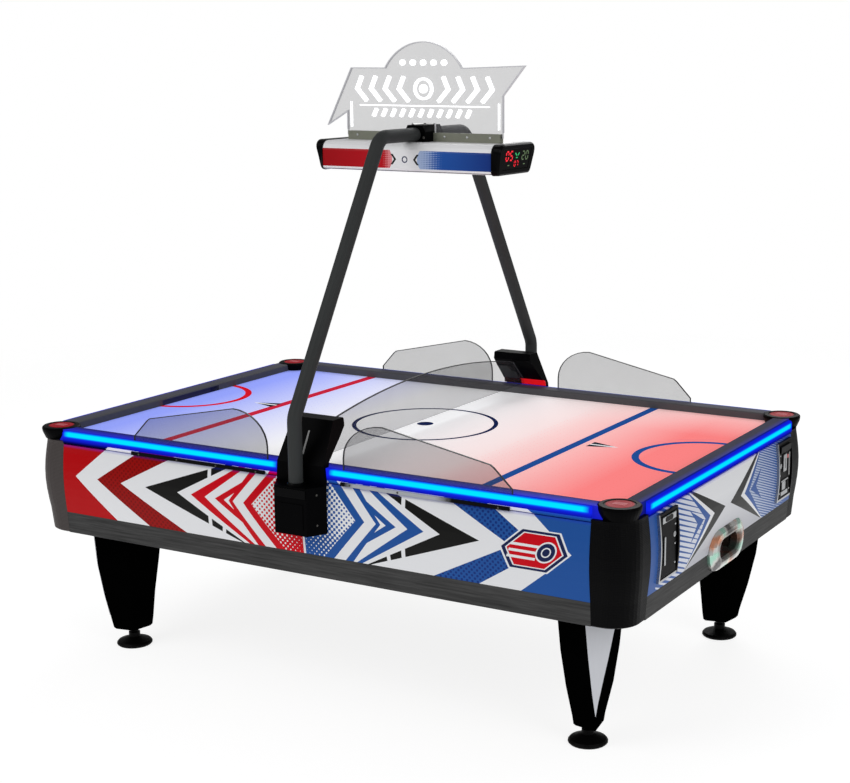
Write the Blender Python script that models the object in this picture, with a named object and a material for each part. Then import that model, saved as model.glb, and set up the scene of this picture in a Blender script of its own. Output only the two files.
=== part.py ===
"""Coin-operated air hockey table with an overhead scoreboard on a bent-tube gantry.

Units are metres. +Z is up, +X runs along the table towards the blue player's end,
and +Y runs towards the far long side. The origin is on the floor under the middle.
Sides are named near (-Y) and far (+Y), ends red (-X) and blue (+X).
"""

import math

import bmesh
import bpy
from mathutils import Matrix, Vector

# ---------------------------------------------------------------- driving dimensions
GAP = 0.0004               # air between pieces that touch

# cabinet envelope, measured at the top edge of its side panels
HALF_LENGTH = 1.153
HALF_WIDTH = 0.760
CABINET_BOTTOM = 0.461
SKIRT_TOP = 0.537
PANEL_TOP = 0.782
RAIL_TOP = 0.8315
PLAY_TOP = 0.805
BULGE = 0.010              # how far the panels swell out at mid height
SKIRT_TAPER = 0.006        # how far the skirt draws in at its lower edge

# chassis: the plywood tray that everything is bolted to
CHASSIS_X = 1.134
CHASSIS_Y = 0.741
CHASSIS_FLOOR = 0.470
CHASSIS_TOP = 0.787
PLY = 0.018
PANEL_BACK_X = CHASSIS_X + 0.0085
PANEL_BACK_Y = CHASSIS_Y + 0.0015

# corner posts and the round caps above them
SEAM_X = 1.028
SEAM_Y = 0.628
POST_RADIUS = 0.085
POST_BACK_X = 1.1385
POST_BACK_Y = 0.7455
POST_TOP = 0.792
CAP_X = 1.0925
CAP_Y = 0.699
CAP_BOTTOM = 0.7925
CAP_TOP = 0.8345
CAP_PROFILE = [               # (radius, height): a flared cup with a shallow dish on top
    (0.0560, CAP_BOTTOM),
    (0.0585, 0.7985),
    (0.0640, 0.8110),
    (0.0662, 0.8180),
    (0.0672, 0.8250),
    (0.0665, 0.8300),
    (0.0625, 0.8335),
    (0.0500, CAP_TOP),
    (0.0482, 0.8320),
]
CAP_WIDEST = 0.0672

# rink: playing surface, rails and goals
INNER_X = 1.080
INNER_Y = 0.687
RAIL_OUTER_X = 1.1375
RAIL_OUTER_Y = 0.7445
RAIL_END_X = 1.062
RAIL_END_Y = 0.672
GOAL_HALF = 0.170
GOAL_DEPTH = 0.045
GOAL_TOP = 0.8245

# light strips round the rim
LED_BOTTOM = 0.784
LED_TOP = 0.830
LED_DEPTH = 0.0125
LED_BACK_X = 1.1440
LED_BACK_Y = 0.7510
LED_END_X = 1.0275
LED_END_Y = 0.6275

# clear puck guards on the long sides, and the shield across the middle
GUARD_BACK = 0.7450
GUARD_THICK = 0.0055
GUARD_INNER_END = 0.149
GUARD_OUTER_END = 0.712
GUARD_CORNER = (0.648, 0.912)
GUARD_CREST = (0.285, 0.985)
GUARD_LOW = 0.845
GUARD_OUTER_ENDS = {          # the four sheets differ a little in length
    ("red", "near"): 0.712,
    ("blue", "near"): 0.760,
    ("red", "far"): 0.672,
    ("blue", "far"): 0.712,
}
SHIELD_THICK = 0.006
SHIELD_BOTTOM = 0.838
SHIELD_CROWN = 1.003
SHIELD_FALL = 0.155        # drop of the arched edge per square metre of offset
SHIELD_REACH = 0.652

# gantry tube and the towers that hold its feet
TUBE_RADIUS = 0.0235
TUBE_FOOT_Y = 0.800
TUBE_FOOT_Z = 0.720
TUBE_KNEE_Z = 0.996
TUBE_TOP_Y = 0.281
TUBE_TOP_Z = 1.852
TUBE_BEND = 0.065
TUBE_WALL = 0.003
TOWER_FRONT_Y = 0.834
TOWER_BACK_Y = 0.7712
TOWER_BOTTOM = 0.619
TOWER_SHELF = 0.776
TOWER_TOP = 0.975
TOWER_FRONT_HALF = 0.0625
TOWER_BACK_HALF = 0.0975
TOWER_TOP_HALF = 0.080

# scoreboard and sign
BOARD_HALF_X = 0.340
BOARD_HALF_Y = 0.128
BOARD_BOTTOM = 1.727
BOARD_TOP = 1.8265
BOARD_WALL = 0.004
END_CAP_OUT = 0.377
END_CAP_LEAN = 0.018        # how much further in an end cap's face is at its foot
END_CAP_TAPER = 0.13        # share by which that foot is narrower
WINDOW_HALF_Y = 0.100
WINDOW_BOTTOM = 1.742
WINDOW_TOP = 1.811
WINDOW_DEPTH = 0.004
SIGN_THICK = 0.010
SIGN_FOOT_HALF = 0.3155
SIGN_WING_TIP = 0.399
SIGN_SHOULDER = 2.076
SIGN_TOP = 2.165
SIGN_ARCH = 0.180
CHANNEL_IN = 0.0445
CHANNEL_HALF_Y = 0.011
CHANNEL_TOP = 1.857
CLAMP_HALF_X = 0.044
CLAMP_HALF_Y = 0.060
CLAMP_TOP = 1.884

# legs and levelling feet
LEG_X = 0.927
LEG_Y = 0.557
LEG_TOP = CHASSIS_FLOOR - GAP
LEG_BOTTOM = 0.062
LEG_STAGES = [                # height, then the plan's outer, near, side, back and inner reach
    (LEG_BOTTOM, 0.0470, 0.0430, 0.034, 0.027, 0.041),
    (LEG_BOTTOM + 0.007, 0.0530, 0.0490, 0.040, 0.032, 0.047),
    (0.096, 0.0575, 0.0530, 0.043, 0.035, 0.050),
    (0.200, 0.0880, 0.0526, 0.0645, 0.047, 0.058),
    (0.322, 0.1160, 0.0520, 0.078, 0.0605, 0.0713),
    (LEG_TOP, 0.1350, 0.0470, 0.088, 0.070, 0.084),
    (LEG_TOP + 0.020, 0.1375, 0.0465, 0.0895, 0.0715, 0.086),
]
FOOT_RADIUS = 0.064
STEM_RADIUS = 0.011
SOCKET_RADIUS = 0.0114
SOCKET_TOP = 0.135
STEM_TOP = 0.130
LEG_CORE = 0.93               # size of the hollow against the leg's plan
LEG_HOLLOW = 0.150          # the leg is a hollow casting above this height

# puck returns in both ends
RETURN_Z = 0.5345
RETURN_HALF_Y = 0.150
RETURN_HALF_Z = 0.0685
MOUTH_HALF_Y = 0.080
MOUTH_HALF_Z = 0.030
RETURN_PROUD = 0.021

# doors in the blue end: the side each is hinged on, and its centre across the end
DOORS = {"service_door": (-1, -0.500), "coin_door": (1, 0.540)}
DOOR_HALF_Y = 0.0625
DOOR_BOTTOM = 0.570
DOOR_TOP_Z = 0.765
DOOR_BACK_X = 1.1600
DOOR_FRONT_X = 1.1640
HINGE_X = 1.1665
LOCK_RADIUS = 0.009
LOCK_Z = 0.690
LOCK_INSET = 0.020
CAM_LENGTH = 0.032
CAM_BACK_X = 1.1365
CAM_THICK = 0.003
CAM_HALF_WIDTH = 0.006
COIN_FLAP_Z = 0.610
COIN_FLAP_HALF_Y = 0.022
COIN_FLAP_HEIGHT = 0.030
REJECT_Z = 0.715
REJECT_RADIUS = 0.007

# blower under the rink
BLOWER_X = -0.30
BLOWER_RADIUS = 0.150
BLOWER_TOP = 0.600
BLOWER_WALL = 0.004
INTAKE_RADIUS = 0.075
IMPELLER_RADIUS = 0.125
IMPELLER_BOTTOM = 0.510
IMPELLER_PLATE = 0.515
IMPELLER_TOP = 0.570
SHAFT_RADIUS = 0.008
BLADES = 12

# mains inlet in the far skirt, near the red end
INLET_X = -0.900
INLET_Z = 0.500
INLET_HALF_X = 0.030
INLET_HALF_Z = 0.016

ROUND_SIDES = 32
SMOOTH_ANGLE = math.radians(35)

SIDES = {"near": -1, "far": 1}
ENDS = {"red": -1, "blue": 1}
CORNERS = [(end, side) for end in ENDS for side in SIDES]


# ---------------------------------------------------------------- materials
def material(name, colour, roughness, metallic=0.0, alpha=1.0, glow=0.0):
    made = bpy.data.materials.new(name)
    made.use_nodes = True
    shader = made.node_tree.nodes["Principled BSDF"]
    shader.inputs["Base Color"].default_value = (*colour, 1.0)
    shader.inputs["Roughness"].default_value = roughness
    shader.inputs["Metallic"].default_value = metallic
    shader.inputs["Alpha"].default_value = alpha
    if glow:
        shader.inputs["Emission Color"].default_value = (*colour, 1.0)
        shader.inputs["Emission Strength"].default_value = glow
    made.diffuse_color = (*colour, alpha)
    return made


def make_materials():
    return {
        "plywood": material("plywood", (0.45, 0.33, 0.20), 0.7),
        "playfield": material("playfield", (0.90, 0.90, 0.92), 0.15),
        "panel_print": material("panel_print", (0.80, 0.80, 0.80), 0.35),
        "skirt": material("skirt", (0.055, 0.055, 0.055), 0.5),
        "rail_coat": material("rail_coat", (0.07, 0.07, 0.065), 0.45),
        "black_plastic": material("black_plastic", (0.008, 0.008, 0.009), 0.4),
        "post_weave": material("post_weave", (0.015, 0.015, 0.016), 0.45),
        "light_strip": material("light_strip", (0.0, 0.35, 1.0), 0.3, glow=4.0),
        "smoked_acrylic": material("smoked_acrylic", (0.65, 0.65, 0.68), 0.05, alpha=0.35),
        "tube_coat": material("tube_coat", (0.045, 0.048, 0.048), 0.5),
        "white_extrusion": material("white_extrusion", (0.85, 0.85, 0.85), 0.3),
        "sign_acrylic": material("sign_acrylic", (0.92, 0.92, 0.92), 0.05, alpha=0.3),
        "zinc": material("zinc", (0.45, 0.46, 0.42), 0.4, metallic=0.9),
        "chrome": material("chrome", (0.85, 0.85, 0.85), 0.1, metallic=1.0),
        "door_steel": material("door_steel", (0.05, 0.05, 0.05), 0.4, metallic=0.6),
        "leg_coat": material("leg_coat", (0.006, 0.006, 0.007), 0.35),
        "foot_rubber": material("foot_rubber", (0.01, 0.01, 0.01), 0.6),
        "blower_steel": material("blower_steel", (0.5, 0.5, 0.5), 0.4, metallic=0.8),
        "red_lens": material("red_lens", (0.6, 0.02, 0.02), 0.25),
    }


# ---------------------------------------------------------------- shape helpers
def arc(centre, radius, start, end, steps):
    """Points on an arc from start to end, both angles in degrees."""
    points = []
    for i in range(steps + 1):
        angle = math.radians(start + (end - start) * i / steps)
        points.append((centre[0] + radius * math.cos(angle), centre[1] + radius * math.sin(angle)))
    return points


def circle(centre, radius, sides=ROUND_SIDES):
    return arc(centre, radius, 0, 360, sides)[:-1]


def stadium(half_long, half_high, steps):
    """A slot outline: two half circles joined by straight sides."""
    reach = half_long - half_high
    right = arc((reach, 0.0), half_high, -90, 90, steps)
    left = arc((-reach, 0.0), half_high, 90, 270, steps)
    return right + left


def loft(sections):
    """A closed skin over rings of points, one ring after another, with flat ends."""
    mesh = bmesh.new()
    rings = [[mesh.verts.new(point) for point in ring] for ring in sections]
    for low, high in zip(rings, rings[1:]):
        for i in range(len(low)):
            j = (i + 1) % len(low)
            mesh.faces.new((low[i], low[j], high[j], high[i]))
    mesh.faces.new(rings[0][::-1])
    mesh.faces.new(rings[-1])
    bmesh.ops.recalc_face_normals(mesh, faces=mesh.faces[:])
    return mesh


def ring_loft(sections):
    """A closed skin over rings of points whose last ring meets the first, such as a hoop."""
    mesh = bmesh.new()
    rings = [[mesh.verts.new(point) for point in ring] for ring in sections]
    for low, high in zip(rings, rings[1:] + rings[:1]):
        for i in range(len(low)):
            j = (i + 1) % len(low)
            mesh.faces.new((low[i], low[j], high[j], high[i]))
    bmesh.ops.recalc_face_normals(mesh, faces=mesh.faces[:])
    return mesh


def place(axis, depth, point):
    """A point of a flat outline, set at depth along axis X, Y or Z."""
    first, second = point
    if axis == "X":
        return (depth, first, second)
    if axis == "Y":
        return (first, depth, second)
    return (first, second, depth)


def prism(outline, axis, low, high):
    """An outline in the two axes other than axis, pushed from low to high along it."""
    return loft([[place(axis, depth, point) for point in outline] for depth in (low, high)])


def rectangle(firsts, seconds):
    (a, b), (c, d) = firsts, seconds
    return [(a, c), (b, c), (b, d), (a, d)]


def box(low, high):
    return prism(rectangle((low[0], high[0]), (low[1], high[1])), "Z", low[2], high[2])


def lathe(profile, centre, sides=ROUND_SIDES):
    """A solid turned about the vertical through centre, from (radius, height) pairs."""
    x, y = centre
    return loft([[(px, py, z) for px, py in circle((x, y), r, sides)] for r, z in profile])


def mirrored(points, sign_x, sign_y):
    return [(x * sign_x, y * sign_y, z) for x, y, z in points]


def add(name, mesh, surface, origin=(0.0, 0.0, 0.0), bevel=0.0, segments=2):
    """Make the object, with its origin moved to the given point and its edges eased."""
    bmesh.ops.translate(mesh, verts=mesh.verts[:], vec=-Vector(origin))
    data = bpy.data.meshes.new(name)
    mesh.to_mesh(data)
    mesh.free()
    data.materials.append(surface)
    data.shade_smooth()
    data.set_sharp_from_angle(angle=SMOOTH_ANGLE)
    made = bpy.data.objects.new(name, data)
    made.location = origin
    bpy.context.scene.collection.objects.link(made)
    if bevel:
        ease = made.modifiers.new("eased_edges", "BEVEL")
        ease.width = bevel
        ease.segments = segments
        ease.limit_method = "ANGLE"
        ease.angle_limit = math.radians(40)
    return made


def helper(name, mesh):
    """A cutting or joining shape that isn't part of the table."""
    data = bpy.data.meshes.new(name)
    mesh.to_mesh(data)
    mesh.free()
    made = bpy.data.objects.new(name, data)
    bpy.context.scene.collection.objects.link(made)
    made.hide_render = True
    made.display_type = "WIRE"
    return made


def combine(target, tool, operation="DIFFERENCE"):
    step = target.modifiers.new(tool.name, "BOOLEAN")
    step.object = tool
    step.operation = operation
    step.solver = "EXACT"


# ---------------------------------------------------------------- cabinet
def swell(z):
    """How far the cabinet's outer skin stands out from its top edge at height z."""
    if z >= PANEL_TOP:
        return 0.0
    if z >= SKIRT_TOP:
        return BULGE * math.sin(math.pi * (z - SKIRT_TOP) / (PANEL_TOP - SKIRT_TOP))
    return -SKIRT_TAPER * (SKIRT_TOP - z) / (SKIRT_TOP - CABINET_BOTTOM)


def heights(low, high, steps):
    return [low + (high - low) * i / steps for i in range(steps + 1)]


def skin_section(half, back, low, high, steps, sign):
    """Section of a panel: swelling outer face, flat back."""
    outer = [(sign * (half + swell(z)), z) for z in heights(low, high, steps)]
    return outer + [(sign * back, high), (sign * back, low)]


def make_chassis(surface):
    radius = 0.066
    corner = (CHASSIS_X - radius, CHASSIS_Y - radius)

    def tray_outline(inset):
        reach_x = corner[0]
        reach_y = corner[1]
        quarter = radius - inset
        turns = [(1, 1, 0), (-1, 1, 90), (-1, -1, 180), (1, -1, 270)]
        outline = []
        for sx, sy, start in turns:
            outline += arc((sx * reach_x, sy * reach_y), quarter, start, start + 90, 4)
        return outline

    tray = add("cabinet_chassis", prism(tray_outline(0.0), "Z", CHASSIS_FLOOR, CHASSIS_TOP), surface)
    hollow = prism(tray_outline(PLY), "Z", CHASSIS_FLOOR + PLY, CHASSIS_TOP + PLY)
    combine(tray, helper("chassis_hollow", hollow))
    joist_low = 0.700
    joist_top = PLAY_TOP - PLY - GAP
    for index, x in enumerate((-0.80, -0.27, 0.27, 0.80)):
        reach = CHASSIS_Y - PLY / 2
        joist = box((x - PLY / 2, -reach, joist_low), (x + PLY / 2, reach, joist_top))
        combine(tray, helper(f"joist_{index}", joist), "UNION")
    intake_outline = circle((BLOWER_X, 0.0), INTAKE_RADIUS)
    intake = prism(intake_outline, "Z", CHASSIS_FLOOR - PLY, CHASSIS_FLOOR + 2 * PLY)
    combine(tray, helper("intake_hole", intake))
    mouth_low = RETURN_Z - MOUTH_HALF_Z - 0.008
    mouth_high = RETURN_Z + MOUTH_HALF_Z + 0.004
    for end, sign in ENDS.items():
        low, high = sorted((sign * (CHASSIS_X - 2 * PLY), sign * (CHASSIS_X + PLY)))
        hole = box((low, -MOUTH_HALF_Y, mouth_low), (high, MOUTH_HALF_Y, mouth_high))
        combine(tray, helper(f"chassis_mouth_{end}", hole))
    for name, (_, centre) in DOORS.items():
        reach = DOOR_HALF_Y - 0.012
        low = (CHASSIS_X - 2 * PLY, centre - reach, DOOR_BOTTOM + 0.012)
        high = (CHASSIS_X + PLY, centre + reach, DOOR_TOP_Z - 0.012)
        combine(tray, helper(f"{name}_access", box(low, high)))


def puck_return_hole(name, sign):
    ring = stadium(RETURN_HALF_Y + 2 * GAP, RETURN_HALF_Z + 2 * GAP, 8)
    low, high = sorted((sign * (HALF_LENGTH - 0.030), sign * (HALF_LENGTH + 0.030)))
    return helper(name, prism([(y, RETURN_Z + z) for y, z in ring], "X", low, high))


def make_panels(print_surface, skirt_surface):
    lap = GAP / 2
    for side, sign in SIDES.items():
        section = skin_section(HALF_WIDTH, PANEL_BACK_Y, SKIRT_TOP + lap, PANEL_TOP, 8, sign)
        add(f"side_panel_{side}", prism(section, "X", -SEAM_X + GAP, SEAM_X - GAP), print_surface)
        section = skin_section(HALF_WIDTH, PANEL_BACK_Y, CABINET_BOTTOM, SKIRT_TOP - lap, 2, sign)
        skirt = add(f"skirt_{side}", prism(section, "X", -SEAM_X + GAP, SEAM_X - GAP), skirt_surface)
        if side == "far":
            low = (INLET_X - INLET_HALF_X, PANEL_BACK_Y - 0.010, INLET_Z - INLET_HALF_Z)
            high = (INLET_X + INLET_HALF_X, HALF_WIDTH + 0.020, INLET_Z + INLET_HALF_Z)
            combine(skirt, helper("inlet_hole", box(low, high)))
    for end, sign in ENDS.items():
        section = skin_section(HALF_LENGTH, PANEL_BACK_X, SKIRT_TOP + lap, PANEL_TOP, 8, sign)
        panel = add(f"end_panel_{end}", prism(section, "Y", -SEAM_Y + GAP, SEAM_Y - GAP), print_surface)
        section = skin_section(HALF_LENGTH, PANEL_BACK_X, CABINET_BOTTOM, SKIRT_TOP - lap, 2, sign)
        skirt = add(f"skirt_{end}", prism(section, "Y", -SEAM_Y + GAP, SEAM_Y - GAP), skirt_surface)
        combine(panel, puck_return_hole(f"panel_return_{end}", sign))
        combine(skirt, puck_return_hole(f"skirt_return_{end}", sign))
        if end == "blue":
            for name, (_, centre) in DOORS.items():
                reach = DOOR_HALF_Y + 0.001
                low = (PANEL_BACK_X - 0.010, centre - reach, DOOR_BOTTOM - 0.001)
                high = (HALF_LENGTH + 0.030, centre + reach, DOOR_TOP_Z + 0.001)
                combine(panel, helper(f"{name}_hole", box(low, high)))


def post_section(z, ease):
    """Plan of one corner post at height z: a rounded corner of constant inner radius."""
    outer_x = HALF_LENGTH + swell(z) - ease
    outer_y = HALF_WIDTH + swell(z) - ease
    inner_radius = POST_RADIUS - (HALF_WIDTH - POST_BACK_Y)
    outer = [(SEAM_X, outer_y)]
    outer += arc((outer_x - POST_RADIUS, outer_y - POST_RADIUS), POST_RADIUS, 90, 0, 8)
    outer.append((outer_x, SEAM_Y))
    inner = [(POST_BACK_X, SEAM_Y)]
    inner += arc((POST_BACK_X - inner_radius, POST_BACK_Y - inner_radius), inner_radius, 0, 90, 8)
    inner.append((SEAM_X, POST_BACK_Y))
    return [(x, y, z) for x, y in outer + inner]


def make_corners(post_surface, cap_surface):
    rounding = 0.004
    bands = [(CABINET_BOTTOM, rounding), (CABINET_BOTTOM + rounding, 0.0), (SKIRT_TOP, 0.0)]
    bands += [(z, 0.0) for z in heights(SKIRT_TOP, PANEL_TOP, 7)[1:]]
    bands.append((POST_TOP, 0.0))
    for end, side in CORNERS:
        sx, sy = ENDS[end], SIDES[side]
        sections = [mirrored(post_section(z, ease), sx, sy) for z, ease in bands]
        add(f"corner_post_{end}_{side}", loft(sections), post_surface)
        add(f"corner_cap_{end}_{side}", lathe(CAP_PROFILE, (sx * CAP_X, sy * CAP_Y)), cap_surface)


def cap_well():
    """Profile of the room left for a cap in the rails and the playing surface."""
    flare = [(radius + 2 * GAP, z) for radius, z in CAP_PROFILE if z < 0.826]
    return [(flare[0][0], CHASSIS_TOP - 0.05)] + flare + [(CAP_WIDEST + 2 * GAP, CAP_TOP + 0.05)]


# ---------------------------------------------------------------- rink
def make_rink(play_surface, rail_surface, strip_surface):
    low = (-INNER_X + GAP, -INNER_Y + GAP, CHASSIS_TOP + GAP)
    field = add("playfield", box(low, (INNER_X - GAP, INNER_Y - GAP, PLAY_TOP)), play_surface)
    base = CHASSIS_TOP + GAP
    clearance = {}
    for end, side in CORNERS:
        centre = (ENDS[end] * CAP_X, SIDES[side] * CAP_Y)
        clearance[end, side] = helper(f"cap_well_{end}_{side}", lathe(cap_well(), centre))
        combine(field, clearance[end, side])
    nose = 0.006
    for side, sign in SIDES.items():
        low, high = INNER_Y, RAIL_OUTER_Y
        section = [(sign * y, z) for y, z in rail_section(low, high, base, nose)]
        rail = add(f"rail_{side}", prism(section, "X", -RAIL_END_X, RAIL_END_X), rail_surface)
        for end in ENDS:
            combine(rail, clearance[end, side])
        section = [(sign * y, z) for y, z in strip_section(LED_BACK_Y)]
        add(f"light_strip_{side}", prism(section, "X", -LED_END_X, LED_END_X), strip_surface)
    for end, sign in ENDS.items():
        section = [(sign * x, z) for x, z in rail_section(INNER_X, RAIL_OUTER_X, base, nose)]
        rail = add(f"rail_{end}", prism(section, "Y", -RAIL_END_Y, RAIL_END_Y), rail_surface)
        for side in SIDES:
            combine(rail, clearance[end, side])
        low, high = sorted((sign * (INNER_X - 0.02), sign * (INNER_X + GOAL_DEPTH)))
        goal = box((low, -GOAL_HALF, base - 0.02), (high, GOAL_HALF, GOAL_TOP))
        combine(rail, helper(f"goal_{end}", goal))
        section = [(sign * x, z) for x, z in strip_section(LED_BACK_X)]
        add(f"light_strip_{end}", prism(section, "Y", -LED_END_Y, LED_END_Y), strip_surface)


def rail_section(inner, outer, base, nose):
    """Section of a rail: square outside, eased along the edge that pucks hit."""
    eased = arc((inner + nose, RAIL_TOP - nose), nose, 180, 90, 3)
    return [(inner, base)] + eased + [(outer, RAIL_TOP), (outer, base)]


def strip_section(back):
    """Section of a light strip: flat back and a softly rounded lens."""
    radius = 0.009
    front = back + LED_DEPTH
    upper = arc((front - radius, LED_TOP - radius), radius, 90, 0, 3)
    lower = arc((front - radius, LED_BOTTOM + radius), radius, 0, -90, 3)
    return [(back, LED_BOTTOM), (back, LED_TOP)] + upper + lower


# ---------------------------------------------------------------- clear guards
def guard_outline():
    """Side view of a puck guard: low at the corner of the table, high beside the gantry."""
    corner_x, corner_z = GUARD_CORNER
    crest_x, crest_z = GUARD_CREST
    foot = PANEL_TOP + 0.0015
    # The rounded shoulder is a quarter of an ellipse from the crest down to the inner end.
    shoulder = []
    drop = crest_z - 0.870
    reach = crest_x - GUARD_INNER_END
    for i in range(9):
        angle = math.radians(90 * i / 8)
        shoulder.append((crest_x - reach * math.sin(angle), crest_z - drop * (1 - math.cos(angle))))
    outer = [(GUARD_OUTER_END, foot), (GUARD_OUTER_END, GUARD_LOW), (corner_x + 0.006, corner_z - 0.008)]
    return outer + [(corner_x - 0.006, corner_z + 0.001)] + shoulder + [(GUARD_INNER_END, foot)]


def make_guards(surface):
    for end, side in CORNERS:
        stretch = (GUARD_OUTER_ENDS[end, side] - GUARD_INNER_END) / (GUARD_OUTER_END - GUARD_INNER_END)
        outline = []
        for x, z in guard_outline():
            outline.append((ENDS[end] * (GUARD_INNER_END + (x - GUARD_INNER_END) * stretch), z))
        low, high = sorted((SIDES[side] * GUARD_BACK, SIDES[side] * (GUARD_BACK + GUARD_THICK)))
        add(f"puck_guard_{end}_{side}", prism(outline, "Y", low, high), surface)
    half = [(y, SHIELD_CROWN - SHIELD_FALL * y * y) for y in heights(0.0, SHIELD_REACH, 10)]
    half += [(0.6785, 0.9100), (0.7465, 0.8460), (0.7465, SHIELD_BOTTOM)]
    outline = half + [(-y, z) for y, z in reversed(half[1:])]
    add("centre_shield", prism(outline, "X", -SHIELD_THICK / 2, SHIELD_THICK / 2), surface)


# ---------------------------------------------------------------- gantry
def tower_profile():
    """Side view of a tower's leaning upright, as (distance from the middle, height)."""
    return [
        (0.7755, 0.750),
        (0.7755, 0.840),
        (0.7000, TOWER_TOP),
        (0.6440, TOWER_TOP),
        (0.6400, TOWER_TOP - 0.005),
        (0.6400, 0.9480),
        (0.6680, 0.9180),
        (0.7420, 0.8500),
        (0.7470, 0.8335),
        (0.7645, 0.8335),
        (0.7645, 0.7790),
        (0.7720, 0.7740),
        (0.7720, 0.750),
    ]


def tower_half(z):
    """Half width of the upright, which narrows upwards."""
    share = max(0.0, (z - TOWER_SHELF) / (TOWER_TOP - TOWER_SHELF))
    return TOWER_BACK_HALF + (TOWER_TOP_HALF - TOWER_BACK_HALF) * share


def make_towers(surface):
    for side, sign in SIDES.items():
        sections = []
        for end in (-1, 1):
            sections.append([(end * (tower_half(z) - 0.001), sign * y, z) for y, z in tower_profile()])
        upright = helper(f"upright_{side}", loft(sections))
        plan = [
            (-TOWER_BACK_HALF, sign * TOWER_BACK_Y),
            (-TOWER_FRONT_HALF, sign * TOWER_FRONT_Y),
            (TOWER_FRONT_HALF, sign * TOWER_FRONT_Y),
            (TOWER_BACK_HALF, sign * TOWER_BACK_Y),
        ]
        tower = add(f"tower_{side}", prism(plan, "Z", TOWER_BOTTOM, TOWER_SHELF), surface)
        combine(tower, upright, "UNION")
        socket = prism(circle((0.0, sign * TUBE_FOOT_Y), TUBE_RADIUS + 0.0003, 24), "Z", TUBE_FOOT_Z, 0.90)
        combine(tower, helper(f"tube_socket_{side}", socket))
        groove = [(0.600, 0.8372), (0.7500, 0.8372), (0.7500, 0.8468), (0.6800, 0.9118), (0.6535, 0.9400),
                  (0.600, 0.9600)]
        half = SHIELD_THICK / 2 + GAP
        slot = prism([(sign * y, z) for y, z in groove], "X", -half, half)
        combine(tower, helper(f"shield_groove_{side}", slot))


def gantry_path():
    """Centre line in the YZ plane, from the near foot over the top to the far foot."""
    corners = [
        Vector((-TUBE_FOOT_Y, TUBE_FOOT_Z + GAP)),
        Vector((-TUBE_FOOT_Y, TUBE_KNEE_Z)),
        Vector((-TUBE_TOP_Y, TUBE_TOP_Z)),
        Vector((TUBE_TOP_Y, TUBE_TOP_Z)),
        Vector((TUBE_FOOT_Y, TUBE_KNEE_Z)),
        Vector((TUBE_FOOT_Y, TUBE_FOOT_Z + GAP)),
    ]
    path = [corners[0]]
    for before, corner, after in zip(corners, corners[1:], corners[2:]):
        into = (corner - before).normalized()
        out = (after - corner).normalized()
        turn = into.angle(out)
        setback = TUBE_BEND * math.tan(turn / 2)
        start = corner - into * setback
        spin = math.copysign(1.0, into.x * out.y - into.y * out.x)
        centre = start + Vector((-into.y, into.x)) * spin * TUBE_BEND
        arm = start - centre
        steps = 6
        for i in range(steps + 1):
            angle = spin * turn * i / steps
            turned = Vector((
                arm.x * math.cos(angle) - arm.y * math.sin(angle),
                arm.x * math.sin(angle) + arm.y * math.cos(angle),
            ))
            path.append(centre + turned)
    path.append(corners[-1])
    return path


def tube_rings(radius):
    path = gantry_path()
    rings = []
    for i, point in enumerate(path):
        before = path[max(i - 1, 0)]
        after = path[min(i + 1, len(path) - 1)]
        along = (after - before).normalized()
        across = Vector((-along.y, along.x))
        ring = []
        for px, side in circle((0.0, 0.0), radius, 20):
            ring.append((px, point.x + across.x * side, point.y + across.y * side))
        rings.append(ring)
    return rings


def make_gantry(tube_surface, clamp_surface):
    outside = tube_rings(TUBE_RADIUS)
    inside = tube_rings(TUBE_RADIUS - TUBE_WALL)
    add("gantry_tube", ring_loft(outside + inside[::-1]), tube_surface)

    foot = BOARD_TOP + GAP
    outline = [
        (-CLAMP_HALF_X, foot),
        (CLAMP_HALF_X, foot),
        (CLAMP_HALF_X - 0.003, CLAMP_TOP - 0.022),
        (CLAMP_HALF_X - 0.014, CLAMP_TOP),
        (-CLAMP_HALF_X + 0.014, CLAMP_TOP),
        (-CLAMP_HALF_X + 0.003, CLAMP_TOP - 0.022),
    ]
    clamp = add("gantry_clamp", prism(outline, "Y", -CLAMP_HALF_Y, CLAMP_HALF_Y), clamp_surface)
    bore = prism(circle((0.0, TUBE_TOP_Z), TUBE_RADIUS + GAP, 24), "Y", -0.1, 0.1)
    combine(clamp, helper("clamp_bore", bore))


# ---------------------------------------------------------------- scoreboard and sign
def board_outline(grow):
    """End view of the scoreboard: rounded shoulders above, tighter corners below."""
    half = BOARD_HALF_Y + grow
    low = BOARD_BOTTOM - grow
    high = BOARD_TOP + grow
    shoulder = 0.032 + grow
    heel = 0.014 + grow
    outline = arc((half - shoulder, high - shoulder), shoulder, 0, 90, 5)
    outline += arc((-half + shoulder, high - shoulder), shoulder, 90, 180, 5)
    outline += arc((-half + heel, low + heel), heel, 180, 270, 4)
    outline += arc((half - heel, low + heel), heel, 270, 360, 4)
    return outline


def make_scoreboard(shell_surface, cap_surface):
    reach = BOARD_HALF_X - GAP
    shell = add("scoreboard_housing", prism(board_outline(0.0), "X", -reach, reach), shell_surface)
    bore = prism(board_outline(-BOARD_WALL), "X", -reach - 0.02, reach + 0.02)
    combine(shell, helper("scoreboard_bore", bore))
    for end, sign in ENDS.items():
        sections = []
        for share, grow in [(0.0, 0.003), (0.80, 0.003), (1.0, -0.003)]:
            sections.append([cap_point(sign, share, y, z) for y, z in board_outline(grow)])
        cap = add(f"score_cap_{end}", loft(sections), cap_surface)
        opening = []
        for z in (WINDOW_BOTTOM, WINDOW_TOP):
            face = cap_point(sign, 1.0, WINDOW_HALF_Y, z)
            depths = (face[0] - sign * WINDOW_DEPTH, face[0] + sign * 0.02)
            opening.append([(x, y, z) for x, y in rectangle(depths, (-face[1], face[1]))])
        combine(cap, helper(f"score_window_{end}", loft(opening)))


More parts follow.
